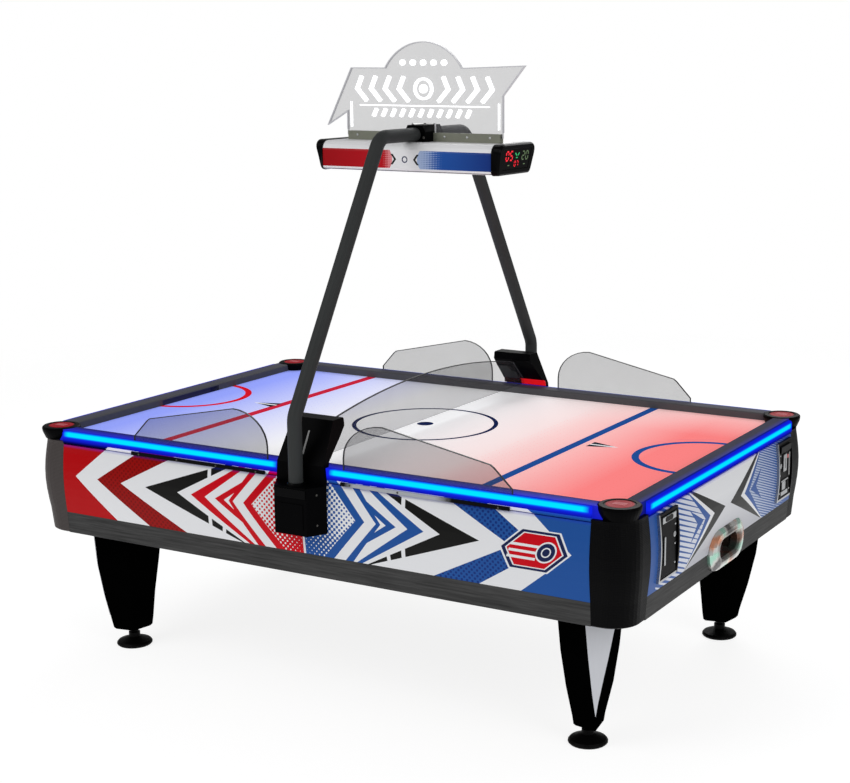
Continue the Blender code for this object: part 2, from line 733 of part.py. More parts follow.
def cap_point(sign, share, y, z):
    """A point of an end cap, share of the way out from the housing. The cap draws in below."""
    drop = max(0.0, (BOARD_TOP - z) / (BOARD_TOP - BOARD_BOTTOM))
    out = BOARD_HALF_X + share * (END_CAP_OUT - END_CAP_LEAN * drop - BOARD_HALF_X)
    return (sign * out, y * (1.0 - END_CAP_TAPER * drop * share), z)


def sign_outline():
    """Face of the sign: an arched middle, with one wing swept down and the other swept up."""
    arch_centre = SIGN_TOP - SIGN_ARCH
    arch_reach = math.degrees(math.asin((SIGN_SHOULDER - arch_centre) / SIGN_ARCH))
    notch_half = CLAMP_HALF_X + 0.003
    notch_top = CLAMP_TOP + 0.004
    foot = CHANNEL_TOP - 0.014
    outline = [(notch_half, notch_top), (notch_half, foot), (SIGN_FOOT_HALF, foot)]
    outline += [(SIGN_FOOT_HALF, 1.985), (SIGN_WING_TIP, 2.085)]
    outline += arc((0.0, arch_centre), SIGN_ARCH, arch_reach, 180 - arch_reach, 16)
    outline += [(-0.297, SIGN_SHOULDER), (-SIGN_WING_TIP, 1.878), (-SIGN_FOOT_HALF, 1.926)]
    outline += [(-SIGN_FOOT_HALF, foot), (-notch_half, foot), (-notch_half, notch_top)]
    return outline


def make_sign(acrylic, channel_surface):
    add("sign_panel", prism(sign_outline(), "Y", -SIGN_THICK / 2, SIGN_THICK / 2), acrylic)
    slot = SIGN_THICK / 2 + GAP
    foot = BOARD_TOP + GAP
    slot_floor = CHANNEL_TOP - 0.014 - GAP
    half = [(CHANNEL_HALF_Y, foot), (CHANNEL_HALF_Y, CHANNEL_TOP), (slot, CHANNEL_TOP), (slot, slot_floor)]
    outline = half + [(-y, z) for y, z in reversed(half)]
    for end, sign in ENDS.items():
        low, high = sorted((sign * CHANNEL_IN, sign * (SIGN_FOOT_HALF - 0.006)))
        add(f"sign_channel_{end}", prism(outline, "X", low, high), channel_surface)


# ---------------------------------------------------------------- legs and feet
def leg_plan(z, scale=1.0):
    """Plan of a leg at height z, seen as the leg of the blue far corner.

    It is a five-sided wedge: a flat face looks out of the corner, two long faces run back from it,
    and they meet two shorter ones that close on an inner edge.
    """
    low, high = next(pair for pair in zip(LEG_STAGES, LEG_STAGES[1:]) if z <= pair[1][0])
    share = (z - low[0]) / (high[0] - low[0])
    far, near, side, back, inner = [scale * (a + share * (b - a)) for a, b in zip(low[1:], high[1:])]
    return [(side, -back, z), (far, near, z), (near, far, z), (-back, side, z), (-inner, -inner, z)]


def make_legs(leg_surface, foot_surface):
    foot_profile = [
        (FOOT_RADIUS - 0.004, 0.0),
        (FOOT_RADIUS, 0.004),
        (FOOT_RADIUS, 0.009),
        (FOOT_RADIUS - 0.005, 0.015),
        (0.038, 0.023),
        (0.0205, 0.030),
        (0.0205, 0.046),
        (STEM_RADIUS, 0.047),
        (STEM_RADIUS, STEM_TOP),
    ]
    for end, side in CORNERS:
        sx, sy = ENDS[end], SIDES[side]
        centre = (sx * LEG_X, sy * LEG_Y)

        def skin(levels, scale=1.0):
            rings = [mirrored(leg_plan(z, scale), sx, sy) for z in levels]
            return loft([[(x + centre[0], y + centre[1], z) for x, y, z in ring] for ring in rings])

        leg = add(f"leg_{end}_{side}", skin([stage[0] for stage in LEG_STAGES[:-1]]), leg_surface)
        socket = prism(circle(centre, SOCKET_RADIUS, 24), "Z", LEG_BOTTOM - 0.02, SOCKET_TOP)
        combine(leg, helper(f"leg_socket_{end}_{side}", socket))
        core = skin([LEG_HOLLOW, 0.200, 0.322, LEG_STAGES[-1][0]], LEG_CORE)
        combine(leg, helper(f"leg_hollow_{end}_{side}", core))
        origin = (centre[0], centre[1], 0.0)
        add(f"foot_{end}_{side}", lathe(foot_profile, centre, 24), foot_surface, origin)


# ---------------------------------------------------------------- puck returns
def make_puck_returns(surface):
    back = PANEL_BACK_X + GAP
    front = HALF_LENGTH + RETURN_PROUD
    # The bezel's section, from its inner mouth at the back, round the proud lip, to the rim.
    stages = [(0.0, back), (0.0, front - 0.008), (0.14, front - 0.002), (0.32, front),
              (0.62, front - 0.002), (0.86, front - 0.007), (1.0, front - 0.014), (1.0, back)]
    inner = stadium(MOUTH_HALF_Y, MOUTH_HALF_Z, 8)
    outer = stadium(RETURN_HALF_Y, RETURN_HALF_Z, 8)
    for end, sign in ENDS.items():
        hoops = []
        for share, x in stages:
            hoop = []
            for (iy, iz), (oy, oz) in zip(inner, outer):
                y = iy + (oy - iy) * share
                z = iz + (oz - iz) * share
                hoop.append((sign * x, y, RETURN_Z + z))
            hoops.append(hoop)
        bezel = add(f"puck_return_{end}", ring_loft(hoops), surface)
        combine(bezel, helper(f"puck_chute_{end}", chute(sign)), "UNION")


def chute(sign):
    """Bent sheet that catches the puck under the goal and slides it out of the mouth."""
    wall = 0.003
    lip_x = PANEL_BACK_X + 0.006
    floor_z = RETURN_Z - MOUTH_HALF_Z
    bend = 0.050
    back_x = 1.030
    top_z = 0.775
    slope_end = (lip_x, floor_z - wall / 2)
    bend_centre = (back_x + bend, floor_z + 0.004 + bend)
    under = arc(bend_centre, bend + wall, 180, 265, 6)
    over = arc(bend_centre, bend, 265, 180, 6)
    outline = [(back_x - wall, top_z)] + under + [(slope_end[0], slope_end[1] - wall)]
    outline += [slope_end] + over + [(back_x, top_z)]
    half = MOUTH_HALF_Y - 0.012
    return prism([(sign * x, z) for x, z in outline], "Y", -half, half)


# ---------------------------------------------------------------- doors in the blue end
def make_doors(door_surface, metal, button_surface):
    for name, (hinged, centre) in DOORS.items():
        hinge = (HINGE_X, centre + hinged * DOOR_HALF_Y, (DOOR_BOTTOM + DOOR_TOP_Z) / 2)
        plate = box(
            (DOOR_BACK_X, centre - DOOR_HALF_Y, DOOR_BOTTOM),
            (DOOR_FRONT_X, centre + DOOR_HALF_Y, DOOR_TOP_Z),
        )
        door = add(name, plate, door_surface, hinge)
        lock_y = centre - hinged * (DOOR_HALF_Y - LOCK_INSET)
        hole = prism(circle((lock_y, LOCK_Z), LOCK_RADIUS + 0.0003, 20), "X", 1.10, 1.20)
        combine(door, helper(f"{name}_lock_hole", hole))
        make_lock(f"{name}_lock", lock_y, metal)
        if name == "coin_door":
            make_coin_parts(door, centre, metal, button_surface)


def make_lock(name, y, surface):
    """Cam lock: a barrel through the door, and a cam bar hanging down behind the end panel."""
    barrel = add(
        name,
        prism(circle((y, LOCK_Z), LOCK_RADIUS, 20), "X", CAM_BACK_X + 0.0005, HINGE_X),
        surface,
        (HINGE_X, y, LOCK_Z),
    )
    low = (CAM_BACK_X, y - CAM_HALF_WIDTH, LOCK_Z - CAM_LENGTH)
    high = (CAM_BACK_X + CAM_THICK, y + CAM_HALF_WIDTH, LOCK_Z + CAM_HALF_WIDTH)
    combine(barrel, helper(f"{name}_cam", box(low, high)), "UNION")


def make_coin_parts(door, centre, metal, button_surface):
    flap_top = COIN_FLAP_Z + COIN_FLAP_HEIGHT / 2
    opening = box(
        (1.10, centre - COIN_FLAP_HALF_Y - 0.001, flap_top - COIN_FLAP_HEIGHT - 0.001),
        (1.20, centre + COIN_FLAP_HALF_Y + 0.001, flap_top + 0.001),
    )
    combine(door, helper("coin_return_opening", opening))
    flap = box(
        (DOOR_BACK_X + 0.001, centre - COIN_FLAP_HALF_Y, flap_top - COIN_FLAP_HEIGHT),
        (DOOR_FRONT_X - 0.0005, centre + COIN_FLAP_HALF_Y, flap_top),
    )
    pivot = (DOOR_FRONT_X - 0.0015, centre, flap_top - 0.0015)
    add("coin_return_flap", flap, metal, pivot)
    button_y = centre + 0.022
    hole = prism(circle((button_y, REJECT_Z), REJECT_RADIUS + 0.0004, 20), "X", 1.10, 1.20)
    combine(door, helper("reject_hole", hole))
    button = prism(circle((button_y, REJECT_Z), REJECT_RADIUS, 20), "X", 1.1520, 1.1690)
    add("coin_reject_button", button, button_surface, (1.1690, button_y, REJECT_Z))


# ---------------------------------------------------------------- inside the cabinet
def make_blower(surface, rotor_surface):
    floor = CHASSIS_FLOOR + PLY + GAP
    outline = circle((BLOWER_X, 0.0), BLOWER_RADIUS)
    casing = add("blower_housing", prism(outline, "Z", floor, BLOWER_TOP), surface)
    bore = circle((BLOWER_X, 0.0), BLOWER_RADIUS - BLOWER_WALL)
    inside = prism(bore, "Z", floor + BLOWER_WALL, BLOWER_TOP - BLOWER_WALL)
    combine(casing, helper("blower_hollow", inside))
    eye = prism(circle((BLOWER_X, 0.0), INTAKE_RADIUS), "Z", floor - 0.02, floor + 0.02)
    combine(casing, helper("blower_eye", eye))
    outlet = box((BLOWER_X + 0.05, 0.03, 0.510), (BLOWER_X + 0.20, 0.13, 0.580))
    combine(casing, helper("blower_outlet", outlet))
    shaft = prism(circle((BLOWER_X, 0.0), SHAFT_RADIUS, 16), "Z", 0.530, BLOWER_TOP - BLOWER_WALL / 2)
    combine(casing, helper("blower_shaft", shaft), "UNION")

    plate = [(IMPELLER_RADIUS, IMPELLER_BOTTOM), (IMPELLER_RADIUS, IMPELLER_PLATE)]
    origin = (BLOWER_X, 0.0, IMPELLER_BOTTOM)
    impeller = add("blower_impeller", lathe(plate, (BLOWER_X, 0.0)), rotor_surface, origin)
    hub = circle((BLOWER_X, 0.0), 0.026, 24)
    boss = prism(hub, "Z", IMPELLER_BOTTOM + 0.001, IMPELLER_TOP)
    combine(impeller, helper("impeller_hub", boss), "UNION")
    for i in range(BLADES):
        low, high = (0.060, -0.0015, IMPELLER_BOTTOM + 0.002), (IMPELLER_RADIUS - 0.004, 0.0015, IMPELLER_TOP)
        blade = box(low, high)
        turn = Matrix.Rotation(2 * math.pi * i / BLADES, 4, "Z")
        blade.transform(Matrix.Translation((BLOWER_X, 0.0, 0.0)) @ turn)
        combine(impeller, helper(f"impeller_blade_{i}", blade), "UNION")
    bore = prism(circle((BLOWER_X, 0.0), SHAFT_RADIUS + 0.0004, 16), "Z", 0.525, IMPELLER_TOP + 0.01)
    combine(impeller, helper("impeller_bore", bore))


def make_inlet(surface):
    half_x = INLET_HALF_X - GAP
    half_z = INLET_HALF_Z - GAP
    low = (INLET_X - half_x, PANEL_BACK_Y + GAP, INLET_Z - half_z)
    high = (INLET_X + half_x, HALF_WIDTH + 0.001, INLET_Z + half_z)
    inlet = add("power_inlet", box(low, high), surface)
    recess = box(
        (INLET_X - 0.014, HALF_WIDTH - 0.012, INLET_Z - 0.010),
        (INLET_X + 0.014, HALF_WIDTH + 0.010, INLET_Z + 0.010),
    )
    combine(inlet, helper("inlet_recess", recess))


# ---------------------------------------------------------------- assembly
def main():
    for leftover in list(bpy.data.objects):
        bpy.data.objects.remove(leftover, do_unlink=True)
    surfaces = make_materials()
    make_chassis(surfaces["plywood"])
    make_panels(surfaces["panel_print"], surfaces["skirt"])
    make_corners(surfaces["post_weave"], surfaces["black_plastic"])
    make_rink(surfaces["playfield"], surfaces["rail_coat"], surfaces["light_strip"])
    make_guards(surfaces["smoked_acrylic"])
    make_towers(surfaces["black_plastic"])
    make_gantry(surfaces["tube_coat"], surfaces["black_plastic"])
    make_scoreboard(surfaces["white_extrusion"], surfaces["black_plastic"])
    make_sign(surfaces["sign_acrylic"], surfaces["zinc"])
    make_legs(surfaces["leg_coat"], surfaces["foot_rubber"])
    make_puck_returns(surfaces["chrome"])
    make_doors(surfaces["door_steel"], surfaces["chrome"], surfaces["red_lens"])
    make_blower(surfaces["blower_steel"], surfaces["black_plastic"])
    make_inlet(surfaces["black_plastic"])


main()
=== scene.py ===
"""Looks of a coin-operated air hockey table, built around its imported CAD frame."""

import math

import bmesh
import bpy
from mathutils import Matrix, Vector


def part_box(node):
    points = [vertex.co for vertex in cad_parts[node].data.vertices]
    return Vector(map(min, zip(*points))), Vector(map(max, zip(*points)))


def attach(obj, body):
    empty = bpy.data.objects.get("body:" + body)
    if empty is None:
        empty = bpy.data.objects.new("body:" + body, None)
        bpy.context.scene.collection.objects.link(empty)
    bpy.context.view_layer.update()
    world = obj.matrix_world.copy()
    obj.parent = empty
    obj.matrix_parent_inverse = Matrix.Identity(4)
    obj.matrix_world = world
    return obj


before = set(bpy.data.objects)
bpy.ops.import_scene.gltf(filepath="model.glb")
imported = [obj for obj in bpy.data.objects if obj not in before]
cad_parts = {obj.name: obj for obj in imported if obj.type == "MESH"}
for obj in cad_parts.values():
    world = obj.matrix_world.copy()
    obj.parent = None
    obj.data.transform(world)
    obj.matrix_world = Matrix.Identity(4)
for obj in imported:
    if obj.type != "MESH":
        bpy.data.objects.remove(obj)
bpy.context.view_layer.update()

SIDES = {"near": -1, "far": 1}
ENDS = {"red": -1, "blue": 1}
CORNERS = [(end, side) for end in ENDS for side in SIDES]


# ---------------------------------------------------------------- node building
def rgb(red, green, blue):
    """Linear colour from display values of 0 to 255."""
    linear = []
    for value in (red, green, blue):
        share = value / 255
        linear.append(share / 12.92 if share <= 0.04045 else ((share + 0.055) / 1.055) ** 2.4)
    return tuple(linear)


class Field:
    """A number that varies over a surface, with arithmetic that adds shader nodes."""

    def __init__(self, paint, socket):
        self.paint = paint
        self.socket = socket

    def math(self, operation, *others, clamp=False):
        node = self.paint.node("ShaderNodeMath", operation=operation, use_clamp=clamp)
        for slot, item in zip(node.inputs, (self, *others)):
            self.paint.feed(slot, item)
        return Field(self.paint, node.outputs[0])

    def __add__(self, other):
        return self.math("ADD", other)

    def __sub__(self, other):
        return self.math("SUBTRACT", other)

    def __mul__(self, other):
        return self.math("MULTIPLY", other)

    def __truediv__(self, other):
        return self.math("DIVIDE", other)

    def __abs__(self):
        return self.math("ABSOLUTE")

    def under(self, limit):
        return self.math("LESS_THAN", limit)

    def over(self, limit):
        return self.math("GREATER_THAN", limit)

    def inverse(self):
        return self * -1.0 + 1.0

    def between(self, low, high):
        return self.over(low) * self.under(high)

    def ramp(self, low, high):
        """0 at low, 1 at high, straight between, clamped outside."""
        return ((self - low) / (high - low)).math("ADD", 0.0, clamp=True)

    def wave(self, period):
        return (self * (2 * math.pi / period)).math("COSINE")

    def cycle(self, period):
        """0 to 1 through each period."""
        return (self / period).math("FRACT")

    def hypot(self, other):
        return (self * self + other * other).math("SQRT")


class Paint:
    """One procedural material on a Principled shader."""

    def __init__(self, name, colour, roughness, **sockets):
        self.material = bpy.data.materials.new(name)
        self.material.use_nodes = True
        self.tree = self.material.node_tree
        self.shader = self.tree.nodes["Principled BSDF"]
        self.colour = (*colour, 1.0)
        self.shader.inputs["Base Color"].default_value = self.colour
        self.shader.inputs["Roughness"].default_value = roughness
        for label, value in sockets.items():
            self.shader.inputs[label.replace("_", " ")].default_value = value

    def node(self, kind, **settings):
        made = self.tree.nodes.new(kind)
        for label, value in settings.items():
            setattr(made, label, value)
        return made

    def feed(self, socket, item):
        if isinstance(item, Field):
            self.tree.links.new(item.socket, socket)
        elif isinstance(item, bpy.types.NodeSocket):
            self.tree.links.new(item, socket)
        elif isinstance(item, tuple):
            socket.default_value = (*item[:3], 1.0)
        else:
            socket.default_value = item

    def place(self):
        """X, Y and Z of the surface in its object's own frame."""
        coordinates = self.node("ShaderNodeTexCoord")
        split = self.node("ShaderNodeSeparateXYZ")
        self.tree.links.new(coordinates.outputs["Object"], split.inputs[0])
        return [Field(self, output) for output in split.outputs]

    def facing(self):
        """X, Y and Z of the surface's direction in its object's own frame."""
        coordinates = self.node("ShaderNodeTexCoord")
        split = self.node("ShaderNodeSeparateXYZ")
        self.tree.links.new(coordinates.outputs["Normal"], split.inputs[0])
        return [Field(self, output) for output in split.outputs]

    def noise(self, scale, stretch=(1.0, 1.0, 1.0), detail=4.0, roughness=0.55):
        coordinates = self.node("ShaderNodeTexCoord")
        mapping = self.node("ShaderNodeMapping")
        mapping.inputs["Scale"].default_value = stretch
        texture = self.node("ShaderNodeTexNoise")
        texture.inputs["Scale"].default_value = scale
        texture.inputs["Detail"].default_value = detail
        texture.inputs["Roughness"].default_value = roughness
        self.tree.links.new(coordinates.outputs["Object"], mapping.inputs["Vector"])
        self.tree.links.new(mapping.outputs["Vector"], texture.inputs["Vector"])
        return Field(self, texture.outputs["Fac"])

    def mix(self, mask, first, second):
        node = self.node("ShaderNodeMix", data_type="RGBA")
        self.feed(node.inputs[0], mask)
        self.feed(node.inputs[6], first)
        self.feed(node.inputs[7], second)
        return node.outputs[2]

    def lay(self, mask, colour):
        """Put a colour over what is there already, where the mask is 1."""
        self.colour = self.mix(mask, self.colour, colour)
        self.feed(self.shader.inputs["Base Color"], self.colour)

    def vary(self, field, low, high):
        """Multiply the colour by a shade that goes from low to high with the field."""
        shade = field * (high - low) + low
        joined = self.node("ShaderNodeCombineXYZ")
        for slot in joined.inputs:
            self.feed(slot, shade)
        node = self.node("ShaderNodeMix", data_type="RGBA", blend_type="MULTIPLY")
        node.inputs[0].default_value = 1.0
        self.feed(node.inputs[6], self.colour)
        self.tree.links.new(joined.outputs[0], node.inputs[7])
        self.colour = node.outputs[2]
        self.feed(self.shader.inputs["Base Color"], self.colour)

    def rough(self, field, low, high):
        self.feed(self.shader.inputs["Roughness"], field * (high - low) + low)

    def bump(self, field, depth, strength=1.0):
        node = self.node("ShaderNodeBump")
        node.inputs["Distance"].default_value = depth
        node.inputs["Strength"].default_value = strength
        self.feed(node.inputs["Height"], field)
        self.tree.links.new(node.outputs["Normal"], self.shader.inputs["Normal"])


def grained(name, colour, roughness, scale=300.0, depth=0.0002,
            stretch=(1.0, 1.0, 1.0), shade=0.12, **sockets):
    """A plain coating or moulding with a fine grain, slow tone changes and worn gloss."""
    paint = Paint(name, colour, roughness, **sockets)
    fine = paint.noise(scale, stretch)
    slow = paint.noise(6.0, detail=3.0)
    paint.vary(slow * 0.6 + fine * 0.4, 1.0 - shade, 1.0 + shade)
    paint.rough(slow * 0.5 + fine * 0.5, max(roughness - 0.10, 0.02), min(roughness + 0.10, 1.0))
    paint.bump(fine, depth)
    return paint


# ---------------------------------------------------------------- mesh building
def arc(centre, radius, start, end, steps):
    points = []
    for i in range(steps + 1):
        angle = math.radians(start + (end - start) * i / steps)
        points.append((centre[0] + radius * math.cos(angle), centre[1] + radius * math.sin(angle)))
    return points


def circle(centre, radius, sides=32):
    return arc(centre, radius, 0, 360, sides)[:-1]


def loft(sections, closed=False):
    mesh = bmesh.new()
    rings = [[mesh.verts.new(point) for point in ring] for ring in sections]
    pairs = list(zip(rings, rings[1:]))
    if closed:
        pairs.append((rings[-1], rings[0]))
    for low, high in pairs:
        for i in range(len(low)):
            j = (i + 1) % len(low)
            mesh.faces.new((low[i], low[j], high[j], high[i]))
    if not closed:
        mesh.faces.new(rings[0][::-1])
        mesh.faces.new(rings[-1])
    bmesh.ops.recalc_face_normals(mesh, faces=mesh.faces[:])
    return mesh


def at(axis, depth, point):
    first, second = point
    if axis == "X":
        return (depth, first, second)
    if axis == "Y":
        return (first, depth, second)
    return (first, second, depth)


def prism(outline, axis, low, high):
    return loft([[at(axis, depth, point) for point in outline] for depth in (low, high)])


def box(low, high):
    outline = [(low[0], low[1]), (high[0], low[1]), (high[0], high[1]), (low[0], high[1])]
    return prism(outline, "Z", low[2], high[2])


def lathe(profile, sides=40):
    """Turned about Z through the origin, from (radius, height) pairs."""
    return loft([[(px, py, z) for px, py in circle((0.0, 0.0), r, sides)] for r, z in profile])


def stroke(points, width, axis, low, high, closed=False):
    """A flat line of even width along points, in the plane across axis."""
    path = [Vector(point) for point in points]
    count = len(path)
    left, right = [], []
    for i, point in enumerate(path):
        before = path[i - 1] if closed or i else point
        after = path[(i + 1) % count] if closed or i < count - 1 else point
        into = (point - before).normalized() if point != before else (after - point).normalized()
        out = (after - point).normalized() if after != point else into
        along = (into + out).normalized()
        across = Vector((-along.y, along.x))
        reach = width / 2 / max(0.35, across.dot(Vector((-into.y, into.x))))
        left.append(tuple(point + across * reach))
        right.append(tuple(point - across * reach))
    sections = []
    for l, r in zip(left, right):
        sections.append([at(axis, low, l), at(axis, low, r), at(axis, high, r), at(axis, high, l)])
    return loft(sections, closed)


def merge(meshes):
    joined = bmesh.new()
    for mesh in meshes:
        part = bpy.data.meshes.new("part")
        mesh.to_mesh(part)
        mesh.free()
        joined.from_mesh(part)
        bpy.data.meshes.remove(part)
    return joined


def put(name, mesh, paint, body="table", place=(0.0, 0.0, 0.0), turn=None, ease=0.0, segments=3):
    """Make a piece, ease its edges, and hang it on a body of the frame."""
    data = bpy.data.meshes.new(name)
    mesh.to_mesh(data)
    mesh.free()
    data.materials.append(paint.material)
    data.shade_smooth()
    data.set_sharp_from_angle(angle=math.radians(32))
    piece = bpy.data.objects.new(name, data)
    bpy.context.scene.collection.objects.link(piece)
    piece.matrix_world = Matrix.Translation(place) @ (turn or Matrix.Identity(4))
    if ease:
        soften(piece, ease, segments)
    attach(piece, body)
    return piece


def soften(piece, width, segments=3):
    """Ease the hard edges, as a moulding or a folded sheet has."""
    weld = piece.modifiers.new("weld", "WELD")
    weld.merge_threshold = 0.00002
    bevel = piece.modifiers.new("eased", "BEVEL")
    bevel.width = width
    bevel.segments = segments
    bevel.limit_method = "ANGLE"
    bevel.angle_limit = math.radians(35)
    bevel.harden_normals = True


def dress(paint, *nodes, ease=0.0):
    for node in nodes:
        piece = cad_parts[node]
        for slot in piece.material_slots:
            slot.material = paint.material
        if ease:
            soften(piece, ease, 2)


# ---------------------------------------------------------------- artwork
RED = rgb(180, 0, 8)
BRIGHT_RED = rgb(202, 0, 22)
MAROON = rgb(122, 0, 0)
BLUE = rgb(32, 82, 156)
DEEP_BLUE = rgb(18, 50, 120)
NAVY = rgb(22, 34, 78)
WHITE = rgb(232, 233, 236)
INK = rgb(20, 20, 19)
STRIP_BLUE = rgb(24, 44, 216)
STRIP_CYAN = rgb(0, 229, 255)
ART_MIDDLE_Z = 0.6768

# Arrow bands on the long panels, from the ends inwards: tip distance from the middle of the
# table, slope of the arms, and what fills the band.
SIDE_BANDS = (
    (0.9700, 1.25, "white"),
    (0.8713, 1.58, "patterned"),
    (0.7650, 1.98, "white"),
    (0.6563, 2.88, "broken ink"),
    (0.5162, 1.95, "white"),
    (0.4577, 1.68, "strong"),
    (0.3991, 1.41, "white"),
    (0.3559, 1.63, "strong"),
    (0.3188, 1.50, "white"),
    (0.2988, 0.79, "strong"),
    (0.2818, 0.885, "white"),
    (0.2386, 0.89, "strong"),
    (0.2046, 0.92, "halftone"),
)

# Arrow bands on the end panels, from the middle outwards.
END_BANDS = (
    (0.023, 2.38, "ink"),
    (0.118, 1.69, "white"),
    (0.153, 1.47, "blue"),
    (0.196, 1.13, "striped"),
    (0.210, 2.00, "blue"),
    (0.262, 1.05, "striped"),
)


def side_artwork():
    paint = Paint("side_artwork", RED, 0.32, Specular_IOR_Level=0.1)
    side_print(paint)
    x, y, z = paint.place()
    badge(paint, x - 0.845, z - 0.672)
    print_finish_and_strip_glow(paint)
    return paint


def side_print(paint):
    """Arrow bands of the long panels: red to the left of the gantry, blue to its right."""
    x, y, z = paint.place()
    reach = abs(x)
    rise = abs(z - ART_MIDDLE_Z)
    left = x.under(0.0)
    strong = paint.mix(left, BLUE, BRIGHT_RED)
    dots = x.wave(0.0190) * z.wave(0.0190)
    diamonds = dots.over(-0.25)
    patterned = paint.mix(diamonds, paint.mix(left, DEEP_BLUE, MAROON), paint.mix(left, BLUE, rgb(150, 4, 2)))
    paint.lay(left.inverse(), BLUE)
    for tip, slope, fill in SIDE_BANDS:
        inside = (reach + rise * slope).under(tip)
        if fill == "white":
            paint.lay(inside, WHITE)
        elif fill == "strong":
            paint.lay(inside, strong)
        elif fill == "patterned":
            paint.lay(inside, patterned)
        elif fill == "broken ink":
            paint.lay(inside, INK)
            paint.lay(inside * reach.between(0.374, 0.388), WHITE)
            low_cut = (reach + z * 0.15).between(0.4035, 0.4175) * z.under(ART_MIDDLE_Z)
            paint.lay(inside * low_cut, WHITE)
        else:
            tone = reach.ramp(0.26, -0.03) + (z * -1.0).ramp(-0.68, -0.45) * 0.25
            paint.lay(inside, WHITE)
            paint.lay(inside * (dots * 0.5 + tone).over(0.52), strong)
    paint.lay(reach.under(0.004), WHITE)


def badge(paint, across, up):
    """A plain six-sided badge with a puck and three speed lines, on one long panel."""
    lean = across - up * 0.35
    hexagon = abs(up).math("MAXIMUM", abs(lean) * 0.55 + abs(up) * 0.45)
    paint.lay(hexagon.under(0.0660), WHITE)
    paint.lay(hexagon.under(0.0620), NAVY)
    paint.lay(hexagon.under(0.0545), WHITE)
    paint.lay(hexagon.under(0.0515), BRIGHT_RED)
    lines = abs(up).under(0.030) * (up + 0.030).cycle(0.020).under(0.42) * lean.between(-0.085, 0.012)
    paint.lay(lines, WHITE)
    puck = (lean - 0.040).hypot(up)
    paint.lay(puck.under(0.034), WHITE)
    paint.lay(puck.under(0.029), NAVY)
    paint.lay(puck.between(0.012, 0.016), WHITE)


def end_artwork(name):
    paint = Paint(name, WHITE, 0.32, Specular_IOR_Level=0.12)
    x, y, z = paint.place()
    reach = abs(y + 0.005)
    rise = abs(z - 0.673)
    paint.lay(z.ramp(0.72, 0.55), rgb(184, 185, 193))
    near = y.under(0.0)
    drop = z + y * 0.33
    wide = drop.cycle(0.0172) - reach.ramp(0.19, 0.57) * 0.62
    fine = drop.cycle(0.0090) - reach.ramp(0.12, 0.56) * 0.85
    stripe_mask = near * wide.under(0.06) + near.inverse() * fine.under(0.06)
    pale = paint.mix(near, rgb(178, 190, 214), rgb(212, 216, 228))
    striped = paint.mix(stripe_mask, pale, BLUE)
    fills = {"ink": INK, "white": WHITE, "blue": BLUE, "striped": striped}
    for tip, slope, fill in END_BANDS:
        paint.lay((reach - rise * slope).over(tip), fills[fill])
    paint.lay(reach.over(0.566), BLUE)
    print_finish_and_strip_glow(paint)
    return paint


def print_finish_and_strip_glow(paint):
    """Fine print grain and a slight orange-peel in the clear film over the artwork, and the strips' blue light painted
    along the panels' top edge.
    """
    z = paint.place()[2]
    # Painted light: the strips' blue glow laid along the top edge of the panels.
    paint.lay(z.between(0.6, 1.0) * z.ramp(0.772, 0.790) * 0.6, STRIP_BLUE)
    peel = paint.noise(140.0, detail=2.0)
    paint.vary(paint.noise(900.0, detail=1.0), 0.97, 1.03)
    paint.rough(peel, 0.26, 0.38)
    paint.bump(peel, 0.00008)


# Where the printed middle and the printed lines of the playing surface lie.
ART_MIDDLE = (-0.035, 0.045)
RED_LINE_X = -0.690
BLUE_LINE_X = 0.591


def rink_artwork():
    paint = Paint("rink_artwork", rgb(250, 250, 252), 0.30, Specular_IOR_Level=0.0)
    x, y, z = paint.place()
    far_fade = y.ramp(0.72, 0.35)
    paint.lay(x.ramp(-0.30, -1.0) * 0.9, rgb(134, 152, 255))
    paint.lay(x.ramp(0.00, 0.45) * 0.9, rgb(255, 226, 224))
    paint.lay(x.ramp(0.36, 0.88) * (far_fade * 0.55 + 0.45), rgb(255, 134, 134))
    paint.lay(abs(x - RED_LINE_X).under(0.020), rgb(200, 36, 62))
    paint.lay(abs(x - BLUE_LINE_X).under(0.017), rgb(33, 78, 150))
    across = y - ART_MIDDLE[1]
    left = x.under(0.0)
    crease = (abs(x - ART_MIDDLE[0]) - 1.085).hypot(across)
    paint.lay(abs(crease - 0.225).under(0.0125), paint.mix(left, rgb(33, 78, 150), rgb(214, 22, 40)))
    reach = abs(x - ART_MIDDLE[0])
    spot = abs(across).under((reach - 0.775) * -0.34) * reach.over(0.668)
    paint.lay(spot, rgb(38, 40, 50))
    paint.lay(spot * abs(across).under(0.006), WHITE)
    emblem(paint, x - ART_MIDDLE[0], across)
    holes_x = (x.cycle(0.0254) - 0.5) * 0.0254
    holes_y = (y.cycle(0.0254) - 0.5) * 0.0254
    holes = holes_x.hypot(holes_y)
    # Painted shade: each air hole is a grey dot over a shallow dent, standing in for the shade inside the hole.
    paint.lay(holes.under(0.0009), rgb(70, 70, 74))
    paint.vary(paint.noise(3.0, detail=2.0), 0.985, 1.015)
    paint.rough(paint.noise(40.0), 0.24, 0.36)
    paint.bump(holes.ramp(0.0008, 0.0014), 0.0006)
    # Painted light: the playing surface glows faintly in its own colours, standing in for light from above.
    paint.feed(paint.shader.inputs["Emission Color"], paint.colour)
    paint.shader.inputs["Emission Strength"].default_value = 0.28
    return paint


def emblem(paint, x, y):
    """Plain centre circle and spot, as on any rink."""
    ring = x.hypot(y)
    paint.lay(ring.between(0.250, 0.266), NAVY)
    paint.lay(ring.under(0.030), NAVY)


